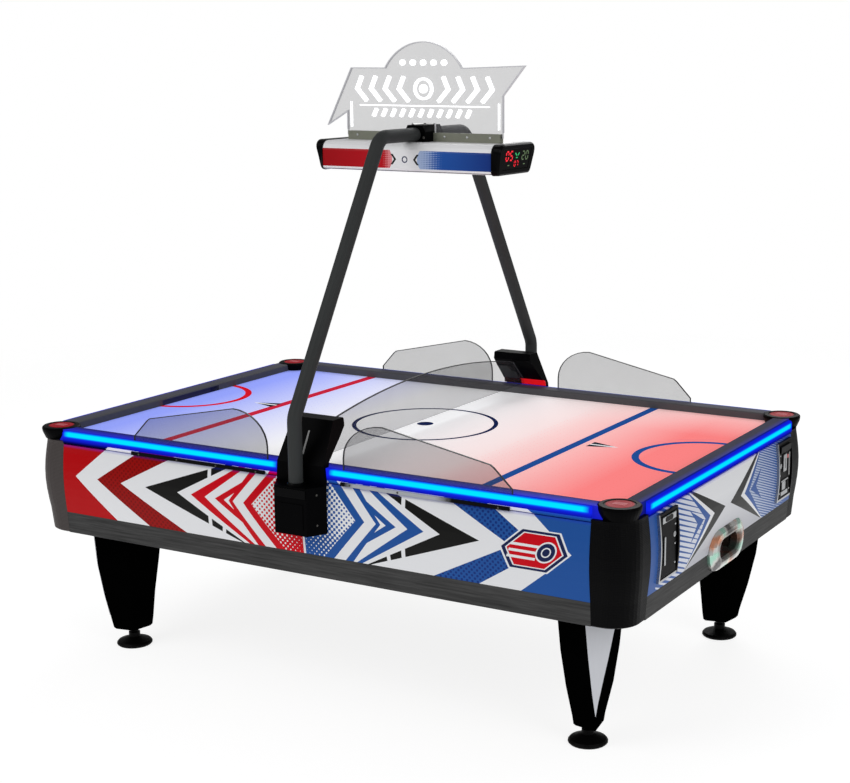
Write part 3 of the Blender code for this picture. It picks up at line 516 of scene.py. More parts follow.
def scoreboard_artwork():
    paint = Paint("scoreboard_artwork", rgb(244, 244, 246), 0.34, Specular_IOR_Level=0.15)
    x, y, z = paint.place()
    front = abs(y).over(0.120)
    level = z - 1.770
    band = abs(level).under(0.031) * front
    nose = abs(x) - abs(level) * abs(level) * 12.0
    fill = band * nose.over(0.050)
    left = x.under(0.0)
    dots = (x + z).wave(0.0125) * (x - z).wave(0.0125)
    fade = abs(x).ramp(0.045, 0.205).math("MAXIMUM", left * abs(x).ramp(0.045, 0.115))
    solid = (dots * 0.45 + fade * 1.7 - 0.62).ramp(-0.12, 0.12)
    paint.lay(fill, paint.mix(left, rgb(176, 196, 232), rgb(236, 148, 154)))
    paint.lay(fill * solid, paint.mix(left, rgb(36, 88, 172), rgb(190, 16, 30)))
    paint.lay(fill * abs(x).ramp(0.13, 0.34) * 0.85, paint.mix(left, rgb(14, 40, 116), rgb(158, 4, 14)))
    tip = abs(x) - abs(level) * 0.8
    paint.lay(front * tip.between(0.034, 0.043) * abs(level).under(0.018), INK)
    paint.lay(front * x.hypot(level).between(0.0075, 0.0115), NAVY)
    paint.lay(front * z.between(1.729, 1.7315), rgb(40, 44, 44))
    print_finish_and_strip_glow(paint)
    return paint


# ---------------------------------------------------------------- plain surfaces
LIP_Z = 0.7965
LONG_CORE_Z = 0.8205
END_CORE_Z = 0.8135


def light_strip_paint():
    """Lit strip over a printed lip: a cyan core that falls off to deep blue at its edges and ends, with its glow
    painted a little way down onto the printed lip.
    """
    paint = Paint("strip_glow", rgb(3, 4, 30), 0.6, Specular_IOR_Level=0.0)
    side_print(paint)
    x, y, z = paint.place()
    end_x = (abs(x) * -1.0 + 1.0275).ramp(0.004, 0.026) * abs(x).ramp(0.102, 0.122)
    end_y = (abs(y) * -1.0 + 0.6275).ramp(0.004, 0.026)
    long_side = abs(y).over(0.70)
    ends = long_side * end_x + long_side.inverse() * end_y
    # Painted light: on the long strips the glow starts 8 mm below the lip, on the printed part.
    lit = (z - LIP_Z).ramp(-0.0080, 0.0020).math("MAXIMUM", long_side.inverse())
    lens = z.over(LIP_Z).math("MAXIMUM", long_side.inverse())
    away = abs(z - long_side * (LONG_CORE_Z - END_CORE_Z) - END_CORE_Z)
    halo = paint.mix(away.ramp(0.026, 0.009), rgb(8, 14, 150), rgb(18, 36, 236))
    near_core = paint.mix(away.ramp(0.0125, 0.0078) * ends, halo, rgb(4, 110, 255))
    colour = paint.mix(away.ramp(0.0092, 0.0055) * ends, near_core, STRIP_CYAN)
    paint.lay(lens, rgb(3, 4, 30))
    paint.feed(paint.shader.inputs["Emission Color"], colour)
    paint.feed(paint.shader.inputs["Emission Strength"], lit)
    paint.rough(paint.noise(40.0), 0.5, 0.7)
    paint.bump(paint.noise(220.0), 0.0001)
    return paint


def rail_paint(name, colour, glow, start=0.690):
    """Charcoal rail with the strips' blue light painted on as a glow: faint over the whole rail, strongest along its
    outer edge.
    """
    paint = grained(name, colour, 0.5, scale=60.0, shade=0.16, Specular_IOR_Level=0.02)
    x, y, z = paint.place()
    across = (abs(x) - 0.393).math("MAXIMUM", abs(y))
    paint.shader.inputs["Emission Color"].default_value = (*rgb(16, 28, 226), 1.0)
    paint.feed(paint.shader.inputs["Emission Strength"], (across.ramp(start, 0.7445) * 0.88 + 0.12) * glow)
    return paint


def clear_sheet(name, colour, face_alpha, edge_alpha, edge_colour, thin_axis):
    """Tinted clear sheet whose cut edges look dark or bright, seen through its thickness."""
    paint = Paint(name, colour, 0.10, IOR=1.49, Specular_IOR_Level=0.06)
    facing = paint.facing()[thin_axis]
    edge = abs(facing).under(0.7)
    paint.lay(edge, edge_colour)
    smear = paint.noise(14.0, detail=3.0)
    paint.vary(smear, 0.92, 1.08)
    alpha = edge * (edge_alpha - face_alpha) + face_alpha
    paint.feed(paint.shader.inputs["Alpha"], alpha + (smear - 0.5) * 0.03)
    paint.rough(smear, 0.06, 0.16)
    return paint


def streaked_laminate():
    """Charcoal laminate with pale streaks that run along the table."""
    paint = Paint("skirt_laminate", rgb(62, 62, 62), 0.55, Specular_IOR_Level=0.08)
    streaks = paint.noise(12.0, (0.5, 0.5, 13.0), detail=5.0, roughness=0.6)
    paint.vary(streaks.ramp(0.32, 0.70), 0.62, 1.50)
    paint.rough(streaks, 0.45, 0.65)
    paint.bump(streaks, 0.0003)
    return paint


def woven_paint(name, colour):
    """Dark moulding with a carbon-like twill pressed into it."""
    paint = Paint(name, colour, 0.34, Specular_IOR_Level=0.04)
    x, y, z = paint.place()
    turn = (abs(y) - 0.675).math("ARCTAN2", abs(x) - 1.068)
    around = turn * 0.088
    over_under = ((around + z).wave(0.0100) * (around - z).wave(0.0100))
    fine = paint.noise(700.0, detail=2.0)
    paint.vary(over_under * 0.35 + fine * 0.3 + 0.35, 0.55, 1.45)
    paint.rough(over_under * 0.5 + 0.5, 0.30, 0.48)
    paint.bump(over_under, 0.0003)
    return paint


def chrome_paint(name, colour, roughness):
    """Plated metal with a slight haze and fine scratches."""
    paint = Paint(name, colour, roughness, Metallic=1.0)
    haze = paint.noise(30.0)
    paint.vary(haze, 0.93, 1.05)
    paint.rough(haze, roughness * 0.6, roughness * 1.6)
    paint.bump(paint.noise(500.0, detail=1.0), 0.00003)
    return paint


def chrome_with_painted_reflections():
    """Bright plating with painted reflections in mint, white, orange and dark patches, and painted shade inside the
    mouth.
    """
    paint = Paint("chrome_with_painted_reflections", (0.62, 0.62, 0.60), 0.22, Metallic=0.7)
    x, y, z = paint.place()
    turn = (z - 0.5345).math("ARCTAN2", y * 0.5)
    bands = (turn * 5.0 + paint.noise(11.0) * 8.0).math("SINE")
    second = (turn * 3.0 + paint.noise(8.0) * 9.0 + 1.7).math("SINE")
    # Painted reflections: patches of mint, orange, white and dark that follow the turn of the mouth.
    paint.lay(bands.ramp(0.10, 0.9) * 0.75, rgb(150, 214, 190))
    paint.lay(second.ramp(0.25, 0.95) * 0.8, rgb(226, 138, 84))
    paint.lay((bands * second).ramp(0.1, 0.7) * 0.9, rgb(244, 240, 228))
    paint.lay((bands + second).ramp(-0.9, -1.7) * 0.9, rgb(60, 58, 66))
    # Painted shade: darker towards the inside of the mouth.
    inward = (y / 0.150).hypot((z - 0.5345) / 0.0685)
    paint.lay((inward + (bands * 0.06)).ramp(0.84, 0.64) * 0.85, rgb(54, 50, 46))
    paint.rough(paint.noise(60.0), 0.14, 0.30)
    paint.bump(paint.noise(400.0, detail=1.0), 0.00004)
    return paint


def glow_paint(name, colour, strength):
    paint = Paint(name, colour, 0.4)
    paint.vary(paint.noise(160.0), 0.9, 1.1)
    paint.shader.inputs["Emission Color"].default_value = (*colour, 1.0)
    paint.shader.inputs["Emission Strength"].default_value = strength
    paint.bump(paint.noise(300.0), 0.00005)
    return paint


def plywood_paint():
    paint = Paint("plywood", rgb(46, 40, 34), 0.7, Specular_IOR_Level=0.2)
    x, y, z = paint.place()
    grain = paint.noise(26.0, (0.25, 3.0, 3.0), detail=6.0)
    paint.vary(grain, 0.70, 1.18)
    plies = (z.cycle(0.0045)).over(0.5)
    paint.vary(plies, 0.94, 1.0)
    paint.rough(grain, 0.6, 0.8)
    paint.bump(grain, 0.0004)
    return paint


def disc_paint():
    """Dark red button in each cap with a faint pale ring and bars."""
    paint = Paint("cap_button", rgb(172, 12, 32), 0.34, Specular_IOR_Level=0.02)
    x, y, z = paint.place()
    ring = x.hypot(y)
    paint.lay(ring.over(0.0425), rgb(70, 4, 12))
    paint.lay(ring.between(0.0330, 0.0345) * 0.3, rgb(220, 90, 104))
    bars = abs(y).under(0.011) * (y + 0.011).cycle(0.0088).under(0.45) * abs(x).under(0.021)
    paint.lay(bars * 0.8, rgb(232, 150, 158))
    paint.vary(paint.noise(60.0), 0.85, 1.15)
    paint.rough(paint.noise(90.0), 0.24, 0.38)
    paint.bump(ring.wave(0.006), 0.0001)
    return paint


black = grained("moulded_black", rgb(4, 4, 5), 0.40, scale=420.0, depth=0.00012, Specular_IOR_Level=0.02)
satin = grained("satin_black", rgb(4, 4, 5), 0.30, scale=260.0, depth=0.0001, Specular_IOR_Level=0.05)
cup = grained("cap_black", rgb(7, 7, 8), 0.34, scale=260.0, depth=0.0001, Specular_IOR_Level=0.02)
glossy = grained("leg_black", rgb(2, 2, 2), 0.34, scale=200.0, depth=0.00006, Specular_IOR_Level=0.0)
rubber = grained("foot_black", rgb(5, 5, 5), 0.45, scale=500.0, depth=0.0002, Specular_IOR_Level=0.06)
# One charcoal rail in three copies that differ by painted light: the glow is the strips' light painted on, and the far
# and red rails' paler base is painted light falling on them.
rail = rail_paint("rail_coat", rgb(84, 84, 84), 0.05)
lit_rail = rail_paint("rail_coat_lit", rgb(34, 34, 40), 0.70)
end_rail = rail_paint("rail_coat_end", rgb(34, 34, 36), 0.26, 0.722)
skirt = streaked_laminate()
coat = grained("tube_powder", rgb(56, 58, 58), 0.52, scale=900.0, depth=0.00025, shade=0.14,
               Specular_IOR_Level=0.1)
steel = grained("galvanised", rgb(150, 152, 150), 0.42, scale=30.0, Metallic=0.8)
zinc = grained("sign_channel_plate", rgb(128, 130, 116), 0.5, scale=60.0, depth=0.0002,
               shade=0.22, Metallic=0.3)
silver = grained("silver_inlay", rgb(196, 198, 204), 0.40, scale=120.0, stretch=(1.0, 1.0, 0.1), shade=0.06)
dim_silver = grained("mark_foil", rgb(128, 128, 128), 0.42, scale=160.0, shade=0.2)
door_black = grained("door_coat", rgb(10, 10, 11), 0.30, scale=500.0, depth=0.0001, Specular_IOR_Level=0.02)
screw = chrome_paint("screw_steel", (0.62, 0.63, 0.64), 0.28)
dark_screw = grained("blackened_screw", rgb(74, 72, 68), 0.35, scale=400.0, Metallic=0.6)
trim = chrome_paint("door_trim", (0.40, 0.41, 0.42), 0.26)
bracket = grained("guard_bracket_black_with_glare", rgb(9, 9, 10), 0.4, scale=420.0, depth=0.0001,
                  Specular_IOR_Level=0.06)
# Painted highlight: a pale band of glare laid across part of the black bracket.
bracket_x = bracket.place()[0]
bracket.lay(bracket_x.ramp(0.165, 0.20) * bracket_x.ramp(0.56, 0.50) * 0.8, rgb(190, 194, 200))
strip = light_strip_paint()
# The red-end posts get a lighter copy of the black twill: painted light, where light falls on them from the left.
woven = {"blue": woven_paint("twill_black", rgb(8, 8, 9)), "red": woven_paint("twill_black_painted_lit", rgb(74, 69, 68))}
reflection_chrome = chrome_with_painted_reflections()
guard = clear_sheet("guard_sheet", rgb(64, 65, 70), 0.26, 0.9, rgb(40, 41, 44), 1)
shield = clear_sheet("shield_sheet", rgb(64, 64, 67), 0.22, 0.35, rgb(72, 74, 78), 0)
sign_clear = clear_sheet("sign_sheet", rgb(132, 132, 135), 0.23, 0.9, rgb(248, 248, 250), 1)
plywood = plywood_paint()
red_lens = grained("red_lens", rgb(190, 16, 24), 0.2, scale=200.0, Coat_Weight=0.4)
red_light = glow_paint("red_digits", rgb(226, 16, 40), 0.8)
green_light = glow_paint("green_light", rgb(40, 170, 100), 0.7)
pale_light = glow_paint("pale_light", rgb(96, 120, 84), 0.35)
white_light = glow_paint("engraved_light", rgb(252, 252, 254), 1.0)
red_strip = glow_paint("tower_red", rgb(232, 18, 24), 0.5)
button = disc_paint()

dress(plywood, "cabinet_chassis")
dress(rink_artwork(), "playfield")
dress(side_artwork(), "side_panel_near", "side_panel_far", ease=0.0008)
dress(end_artwork("end_artwork"), "end_panel_blue", "end_panel_red", ease=0.0008)
dress(skirt, "skirt_near", "skirt_far", "skirt_red", "skirt_blue", ease=0.0008)
dress(lit_rail, "rail_near", ease=0.0015)
dress(end_rail, "rail_blue", ease=0.0015)
dress(rail, "rail_far", "rail_red", ease=0.0015)
dress(strip, "light_strip_near", "light_strip_far", "light_strip_red", "light_strip_blue")
dress(scoreboard_artwork(), "scoreboard_housing")
dress(shield, "centre_shield")
dress(coat, "gantry_tube")
dress(black, "tower_near", "tower_far", ease=0.0022)
dress(black, "gantry_clamp", ease=0.004)
dress(satin, "score_cap_red", "score_cap_blue", ease=0.003)
dress(sign_clear, "sign_panel")
dress(zinc, "sign_channel_red", "sign_channel_blue", ease=0.0006)
dress(reflection_chrome, "puck_return_red", "puck_return_blue")
dress(door_black, "service_door", "coin_door", ease=0.0012)
dress(trim, "service_door_lock", "coin_door_lock", ease=0.0006)
dress(trim, "coin_return_flap", ease=0.0006)
dress(red_lens, "coin_reject_button", ease=0.001)
dress(steel, "blower_housing")
dress(black, "blower_impeller")
dress(black, "power_inlet", ease=0.0006)
for end, side in CORNERS:
    dress(woven[end], f"corner_post_{end}_{side}")
    dress(cup, f"corner_cap_{end}_{side}")
    dress(guard, f"puck_guard_{end}_{side}")
    dress(glossy, f"leg_{end}_{side}", ease=0.003)
    dress(rubber, f"foot_{end}_{side}")


# ---------------------------------------------------------------- rim, caps and guards
PANEL_BOTTOM, PANEL_TOP = 0.537, 0.782
PANEL_BULGE = 0.010
CAP_CENTRE = (1.0925, 0.699, 0.8322)
# Radius and height of the cap's red disc, from its rim to its middle.
DISC_PROFILE = [(0.0466, 0.0), (0.0466, 0.0006), (0.042, 0.0014), (0.030, 0.0022), (0.015, 0.0027), (0.002, 0.0028)]


def swell(z):
    """How far the panels stand out from their top edge at height z."""
    if not PANEL_BOTTOM < z < PANEL_TOP:
        return 0.0
    return PANEL_BULGE * math.sin(math.pi * (z - PANEL_BOTTOM) / 0.245)


def screw_head(name, place, outward, radius=0.004, body="table", paint=None):
    """A low domed screw head, facing outward."""
    dome = ((1.0, 0.0), (1.0, 0.25), (0.75, 0.5), (0.35, 0.6))
    head = lathe([(radius * across, radius * up) for across, up in dome], 16)
    turn = Vector(outward).to_track_quat("Z", "Y").to_matrix().to_4x4()
    return put(name, head, paint or screw, body, place, turn)


for end, side in CORNERS:
    sx, sy = ENDS[end], SIDES[side]
    cap = (sx * CAP_CENTRE[0], sy * CAP_CENTRE[1], CAP_CENTRE[2])
    disc = lathe(DISC_PROFILE, 48)
    put(f"cap_button_{end}_{side}", disc, button, place=cap)
    inner, outer = sorted(abs(corner[0]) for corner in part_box(f"puck_guard_{end}_{side}"))
    low, high = sorted((sx * inner, sx * outer))
    section = [(sy * 0.7637, 0.7955), (sy * 0.7700, 0.7950), (sy * 0.7708, 0.7838), (sy * 0.7637, 0.7832)]
    put(f"guard_bracket_{end}_{side}", prism(section, "X", low, high), bracket, ease=0.0008)
    for index in range(4):
        x = inner + (outer - inner) * (0.06 + 0.293 * index)
        screw_head(f"guard_screw_{end}_{side}_{index}", (sx * x, sy * 0.7705, 0.7895), (0.0, sy, 0.03), 0.0034,
                   paint=dark_screw)


def sheet_rim(node, axis):
    """Corners of a flat sheet's outline, in order, in the plane across axis."""
    mesh = bmesh.new()
    mesh.from_mesh(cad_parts[node].data)
    bmesh.ops.remove_doubles(mesh, verts=mesh.verts[:], dist=0.00001)
    index = "XYZ".index(axis)
    level = max(vertex.co[index] for vertex in mesh.verts) - 0.0001
    links = {}
    for edge in mesh.edges:
        if min(vertex.co[index] for vertex in edge.verts) > level:
            if sorted(abs(face.normal[index]) > 0.9 for face in edge.link_faces) == [False, True]:
                first, second = edge.verts
                links.setdefault(first, []).append(second)
                links.setdefault(second, []).append(first)
    start = min(links, key=lambda vertex: tuple(vertex.co))
    path, before = [start], None
    while True:
        following = [vertex for vertex in links[path[-1]] if vertex is not before]
        before = path[-1]
        if following[0] is start:
            break
        path.append(following[0])
    points = [tuple(value for i, value in enumerate(vertex.co) if i != index) for vertex in path]
    mesh.free()
    return points


EDGE_WIDTH, EDGE_PROUD = 0.0026, 0.0002
edge_black = grained("sheet_edge", rgb(52, 53, 56), 0.3, scale=200.0, depth=0.00005, Specular_IOR_Level=0.2)
for end, side in CORNERS:
    node = f"puck_guard_{end}_{side}"
    low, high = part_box(node)
    edge = stroke(sheet_rim(node, "Y"), EDGE_WIDTH, "Y", low[1] - EDGE_PROUD, high[1] + EDGE_PROUD, closed=True)
    put(f"guard_edge_{end}_{side}", edge, edge_black)
low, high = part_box("centre_shield")
crown = sorted(point for point in sheet_rim("centre_shield", "X") if point[1] > low[2] + 0.002)
edge = stroke(crown, EDGE_WIDTH, "X", low[0] - EDGE_PROUD, high[0] + EDGE_PROUD)
put("shield_edge", edge, edge_black)

# ---------------------------------------------------------------- legs
# Height, the two corners of the leg's slanting face, and the share of its width that the inlay takes.
LEG_FACES = (
    (0.1180, 0.0640, 0.0529, 0.06),
    (0.1670, 0.0783, 0.0527, 0.48),
    (0.2000, 0.0880, 0.0526, 0.58),
    (0.2470, 0.0988, 0.0524, 0.67),
    (0.3220, 0.1160, 0.0520, 0.755),
    (0.4600, 0.1338, 0.0473, 0.89),
)
LEG_MARGIN = 0.0016
LEG_ORIGIN = (0.927, 0.557)
for end, side in CORNERS:
    sx, sy = ENDS[end], SIDES[side]
    sections = []
    for z, far_edge, near_edge, share in LEG_FACES:
        first = (near_edge + LEG_MARGIN, far_edge - LEG_MARGIN)
        reach = (far_edge - near_edge - 2 * LEG_MARGIN) * share
        second = (first[0] + reach, first[1] - reach)
        ring = [(*second, 0.0002), (*first, 0.0002), (*first, 0.0012), (*second, 0.0012)]
        sections.append([(sx * (LEG_ORIGIN[0] + a + lift), sy * (LEG_ORIGIN[1] + b + lift), z) for a, b, lift in ring])
    put(f"leg_inlay_{end}_{side}", loft(sections), silver)

# ---------------------------------------------------------------- towers
TOWER_FRONT = 0.834
TUBE_FOOT = (0.800, 0.776)
# Radius and height round the collar where the tube enters the tower.
COLLAR_PROFILE = ((0.0240, 0.0), (0.0240, 0.009), (0.0262, 0.010), (0.0295, 0.006), (0.0300, 0.0))
MARK_FOOT = (0.7755, 0.840)
BLOCK_OUTLINE = [(-0.078, 0.914), (-0.034, 0.914), (-0.032, 0.893), (-0.014, 0.888), (-0.014, 0.856), (-0.088, 0.856)]
# The red block's section: depth from the middle, and height.
BEND_SECTION = [(0.7475, 0.8338), (0.7425, 0.8502), (0.7349, 0.8572),
                (0.7331, 0.8556), (0.7402, 0.8491), (0.7451, 0.8338)]
for side, sy in SIDES.items():
    front = sy * TOWER_FRONT
    low, high = sorted((front, front + sy * 0.0022))
    plate = box((-0.049, low, 0.640), (0.049, high, 0.722))
    put(f"tower_plate_{side}", plate, black, ease=0.0018)
    low, high = sorted((front, front + sy * 0.0030))
    rib = box((-0.060, low, 0.742), (0.060, high, 0.770))
    put(f"tower_rib_{side}", rib, satin, ease=0.0024)
    collar = loft([[(px, py, z) for px, py in circle((0.0, 0.0), r, 40)] for r, z in COLLAR_PROFILE], closed=True)
    put(f"tube_collar_{side}", collar, satin, place=(0.0, sy * TUBE_FOOT[0], TUBE_FOOT[1]))
    for sx in (-1, 1):
        for index, z in enumerate((0.652, 0.752)):
            screw_head(f"tower_screw_{side}_{sx + 1}_{index}", (sx * 0.0808, sy * 0.8022, z),
                       (sx * 0.873, sy * 0.487, 0.0), 0.0036, paint=dark_screw)
    bar = [(0.0, 0.868), (0.0, 0.938)]
    lean = math.atan2(0.0755, 0.135)
    flat = stroke([(x, (z - MARK_FOOT[1]) / math.cos(lean)) for x, z in bar], 0.0062, "Y", -0.0008, 0.0002)
    turn = Matrix.Rotation(-lean, 4, "X")
    if side == "far":
        turn = Matrix.Rotation(math.pi, 4, "Z") @ turn
    put(f"tower_mark_{side}", flat, dim_silver, place=(0.0, sy * MARK_FOOT[0], MARK_FOOT[1]),
        turn=turn)
    outline = [(sy * x, z) for x, z in BLOCK_OUTLINE]
    block = [[(x, sy * (0.7420 - (z - 0.850) * 1.0882 - depth), z) for x, z in outline] for depth in (0.0, 0.0055)]
    put(f"tower_block_{side}", loft(block), coat, ease=0.0015)
    low, high = sorted((sy * -0.012, sy * 0.0950))
    red = prism([(sy * y, z) for y, z in BEND_SECTION], "X", low, high)
    put(f"tower_red_{side}", red, red_strip)


# ---------------------------------------------------------------- doors in the blue end
END_FACE = 1.153
DOOR_FACE = 1.1640
FRAME_PROUD = 0.0085
FRAME_INNER, FRAME_OUTER = 0.0640, 0.0720
FRAME_BOTTOM, FRAME_TOP = 0.561, 0.774
FRAME_BAR = 0.0075
LOCK_REACH, LOCK_HEIGHT = 0.0425, 0.690


def curved_bar(y_low, y_high, z_low, z_high, proud, steps=10):
    """An upright bar that follows the swelling panel."""
    sections = []
    for i in range(steps + 1):
        z = z_low + (z_high - z_low) * i / steps
        back = END_FACE + swell(z) - 0.004
        front = END_FACE + swell(z) + proud
        sections.append([(back, y_low, z), (back, y_high, z), (front, y_high, z), (front, y_low, z)])
    return loft(sections)


for name, centre, hinged in (("service", -0.500, -1), ("coin", 0.540, 1)):
    bars = [
        curved_bar(centre - FRAME_OUTER, centre - FRAME_INNER, FRAME_BOTTOM, FRAME_TOP, FRAME_PROUD),
        curved_bar(centre + FRAME_INNER, centre + FRAME_OUTER, FRAME_BOTTOM, FRAME_TOP, FRAME_PROUD),
        curved_bar(centre - FRAME_INNER, centre + FRAME_INNER, FRAME_BOTTOM, FRAME_BOTTOM + FRAME_BAR, FRAME_PROUD, 2),
        curved_bar(centre - FRAME_INNER, centre + FRAME_INNER, FRAME_TOP - FRAME_BAR, FRAME_TOP, FRAME_PROUD, 2),
    ]
    # One chrome frame: the bars on the -Y side and along the bottom stay chrome, and those on the +Y side and along
    # the top are black as painted shade.
    put(f"{name}_door_frame_lit_bars", merge([bars[0], bars[2]]), trim, ease=0.0020)
    put(f"{name}_door_frame_shaded_bars", merge([bars[1], bars[3]]), satin, ease=0.0020)
    lock_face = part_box(f"{name}_door_lock")[1][0]
    lock_y = centre - hinged * LOCK_REACH
    # Painted shade: the keyway is a thin black plate on the lock face, standing in for the shade inside the key slot.
    keyway = box((lock_face - 0.0002, lock_y - 0.0009, LOCK_HEIGHT - 0.0042),
                 (lock_face + 0.0003, lock_y + 0.0009, LOCK_HEIGHT + 0.0042))
    put(f"{name}_door_keyway", keyway, satin, f"{name}_door_lock")
    body = f"{name}_door"
    border = 0.009
    panel = box((DOOR_FACE, centre - 0.0625 + border, 0.570 + border),
                (DOOR_FACE + 0.0012, centre + 0.0625 - border, 0.765 - border))
    if name == "service":
        put("service_door_panel", panel, door_black, body, ease=0.0010)
        plate = box((DOOR_FACE, centre - 0.050, 0.742), (1.1668, centre + 0.050, 0.762))
        put("service_door_top", plate, trim, body, ease=0.0010)
        # Painted shade: a thin black plate standing in for the shaded opening of the slot.
        slot = [(centre - 0.002 + y, 0.752 + z) for y, z in
                arc((0.020, 0.0), 0.0078, -90, 90, 8) + arc((-0.020, 0.0), 0.0078, 90, 270, 8)]
        put("service_door_slot", prism(slot, "X", 1.1669, 1.1678), satin, body)
        for index, z in enumerate((0.600, 0.660, 0.722)):
            place = (1.1652, centre + 0.047, z)
            screw_head(f"service_door_screw_{index}", place, (1.0, 0.0, 0.0), 0.0035, body)
        handle = stroke([(centre - 0.034, 0.610), (centre - 0.034, 0.700)], 0.010, "X", 1.1652, 1.1690)
        put("service_door_pull", handle, trim, body, ease=0.0012)
    else:
        hood = box((1.1641, centre - 0.052, 0.737), (1.1700, centre + 0.052, 0.760))
        put("coin_door_hood", hood, satin, body, ease=0.0018)
        bezel = box((1.1641, centre - 0.018, 0.664), (1.1690, centre + 0.012, 0.728))
        put("coin_door_bezel", bezel, trim, body, ease=0.0022)
        # Painted shade: the coin slit is a thin black plate on the bezel, standing in for the shade inside the slot.
        slit = box((1.1690, centre - 0.0045, 0.676), (1.1694, centre - 0.0015, 0.712))
        put("coin_door_slit", slit, satin, body)
        light = box((1.1641, centre + 0.038, 0.640), (1.1672, centre + 0.050, 0.726))
        put("coin_door_light", light, dim_silver, body, ease=0.0015)
        cup = box((1.1641, centre - 0.034, 0.5775), (1.1662, centre + 0.034, 0.5930))
        put("coin_door_cup", cup, trim, body, ease=0.0012)
        brow = box((1.1641, centre - 0.034, 0.6285), (1.1675, centre + 0.034, 0.6345))
        put("coin_door_brow", brow, trim, body, ease=0.0012)
        for sy in (-1, 1):
            middle = centre + sy * 0.029
            cheek = box((1.1641, middle - 0.005, 0.5932), (1.1660, middle + 0.005, 0.6283))
            put(f"coin_door_cheek_{sy + 1}", cheek, door_black, body, ease=0.0008)
        for index, (dy, z) in enumerate(((-0.046, 0.590), (-0.046, 0.655), (0.050, 0.590), (-0.046, 0.728))):
            screw_head(f"coin_door_screw_{index}", (1.1641, centre + dy, z), (1.0, 0.0, 0.0), 0.0035, body)

# ---------------------------------------------------------------- scoreboard
SEGMENTS = {
    "top": ((-1, 2), (1, 2)),
    "middle": ((-1, 0), (1, 0)),
    "bottom": ((-1, -2), (1, -2)),
    "upper_left": ((-1, 2), (-1, 0)),
    "upper_right": ((1, 2), (1, 0)),
    "lower_left": ((-1, 0), (-1, -2)),
    "lower_right": ((1, 0), (1, -2)),
}
LIT = {
    "0": ("top", "bottom", "upper_left", "upper_right", "lower_left", "lower_right"),
    "2": ("top", "middle", "bottom", "upper_right", "lower_left"),
    "5": ("top", "middle", "bottom", "upper_left", "lower_right"),
    "7": ("top", "upper_right", "lower_right"),
}


def digit(value, y, z, half_width, half_height, low, high, width=0.0042):
    bars = []
    for name in LIT[value]:
        (ay, az), (by, bz) = SEGMENTS[name]
        start = Vector((y + ay * half_width, z + az * half_height / 2))
        stop = Vector((y + by * half_width, z + bz * half_height / 2))
        trim = (stop - start).normalized() * width * 0.55
        bars.append(stroke([tuple(start + trim), tuple(stop - trim)], width, "X", low, high))
    return merge(bars)


SCORE_LEAN = math.atan2(0.018, 0.0995)
for end, sx in ENDS.items():
    face = (sx * 0.36796, 0.0, 1.7765)
    lean = Matrix.Rotation(sx * SCORE_LEAN, 4, "Y")

    def on_face(name, mesh, paint, ease=0.0):
        put(f"{name}_{end}", mesh, paint, place=face, turn=lean, ease=ease)

    low, high = sorted((sx * -0.0036, sx * -0.0010))
    window = box((low, -0.0985, -0.0338), (high, 0.0985, 0.0338))
    on_face("score_window", window, satin, 0.0006)
    low, high = sorted((sx * -0.0009, sx * -0.0003))
    big = [digit(value, sx * y, 0.0120, 0.0086, 0.0150, low, high, 0.0052)
           for value, y in (("0", -0.068), ("5", -0.040))]
    small = [digit(value, sx * y, -0.0160, 0.0052, 0.0085, low, high, 0.0034)
             for value, y in (("0", -0.008), ("7", 0.009))]
    on_face("score_digits", merge(big + small), red_light)
    dim = [digit(value, sx * y, 0.0100, 0.0080, 0.0140, low, high, 0.0040)
           for value, y in (("2", 0.044), ("0", 0.070))]
    dim += [box((low, sx * y - 0.006, -0.0215), (high, sx * y + 0.006, -0.0185)) for y in (-0.052, 0.058)]
    on_face("score_dim_digits", merge(dim), pale_light)
    marks = [stroke([(-0.014, 0.0210), (-0.004, 0.0120)], 0.0042, "X", low, high),
             stroke([(0.014, 0.0210), (0.004, 0.0120)], 0.0042, "X", low, high),
             box((low, -0.006, 0.0030), (high, 0.006, 0.0062))]
    on_face("score_marks", merge(marks), green_light)

# ---------------------------------------------------------------- sign
lines = []
for front in (-1, 1):
    low, high = sorted((front * 0.0050, front * 0.0056))
    for index in range(5):
        lines.append(prism(circle((0.042 * (index - 2), 2.095), 0.010, 24), "Y", low, high))
    for index in range(4):
        x = 0.070 + 0.058 * index
        for sx in (-1, 1):
            shift = sx * 0.010
            chevron = [(sx * x + shift, 2.048), (sx * (x + 0.030), 2.005), (sx * x - shift, 1.962)]
            lines.append(stroke(chevron, 0.0125, "Y", low, high))
    lines.append(stroke(circle((0.0, 2.006), 0.034, 32), 0.008, "Y", low, high, closed=True))
    lines.append(prism(circle((0.0, 2.006), 0.015, 24), "Y", low, high))
    lines.append(stroke([(-0.262, 1.9475), (0.262, 1.9475)], 0.0038, "Y", low, high))
    for index in range(11):
        x = -0.200 + 0.038 * index
        lines.append(stroke([(x - 0.007, 1.909), (x + 0.007, 1.936)], 0.0115, "Y", low, high))
    for sx in (-1, 1):
        lines.append(stroke([(sx * 0.300, 1.870), (sx * 0.300, 1.960)], 0.0034, "Y", low, high))
put("sign_engraving", merge(lines), white_light)

SIGN_EDGE = [(0.3155, 1.862), (0.3155, 1.985), (0.399, 2.085)]
SIGN_EDGE += arc((0.0, 1.985), 0.180, 30.4, 149.6, 28)
SIGN_EDGE += [(-0.297, 2.076), (-0.399, 1.878), (-0.3155, 1.926), (-0.3155, 1.862)]
edge_light = glow_paint("edge_light", rgb(176, 176, 180), 0.35)
put("sign_edge_glow", stroke(SIGN_EDGE, 0.0034, "Y", -0.0053, 0.0053), edge_light)

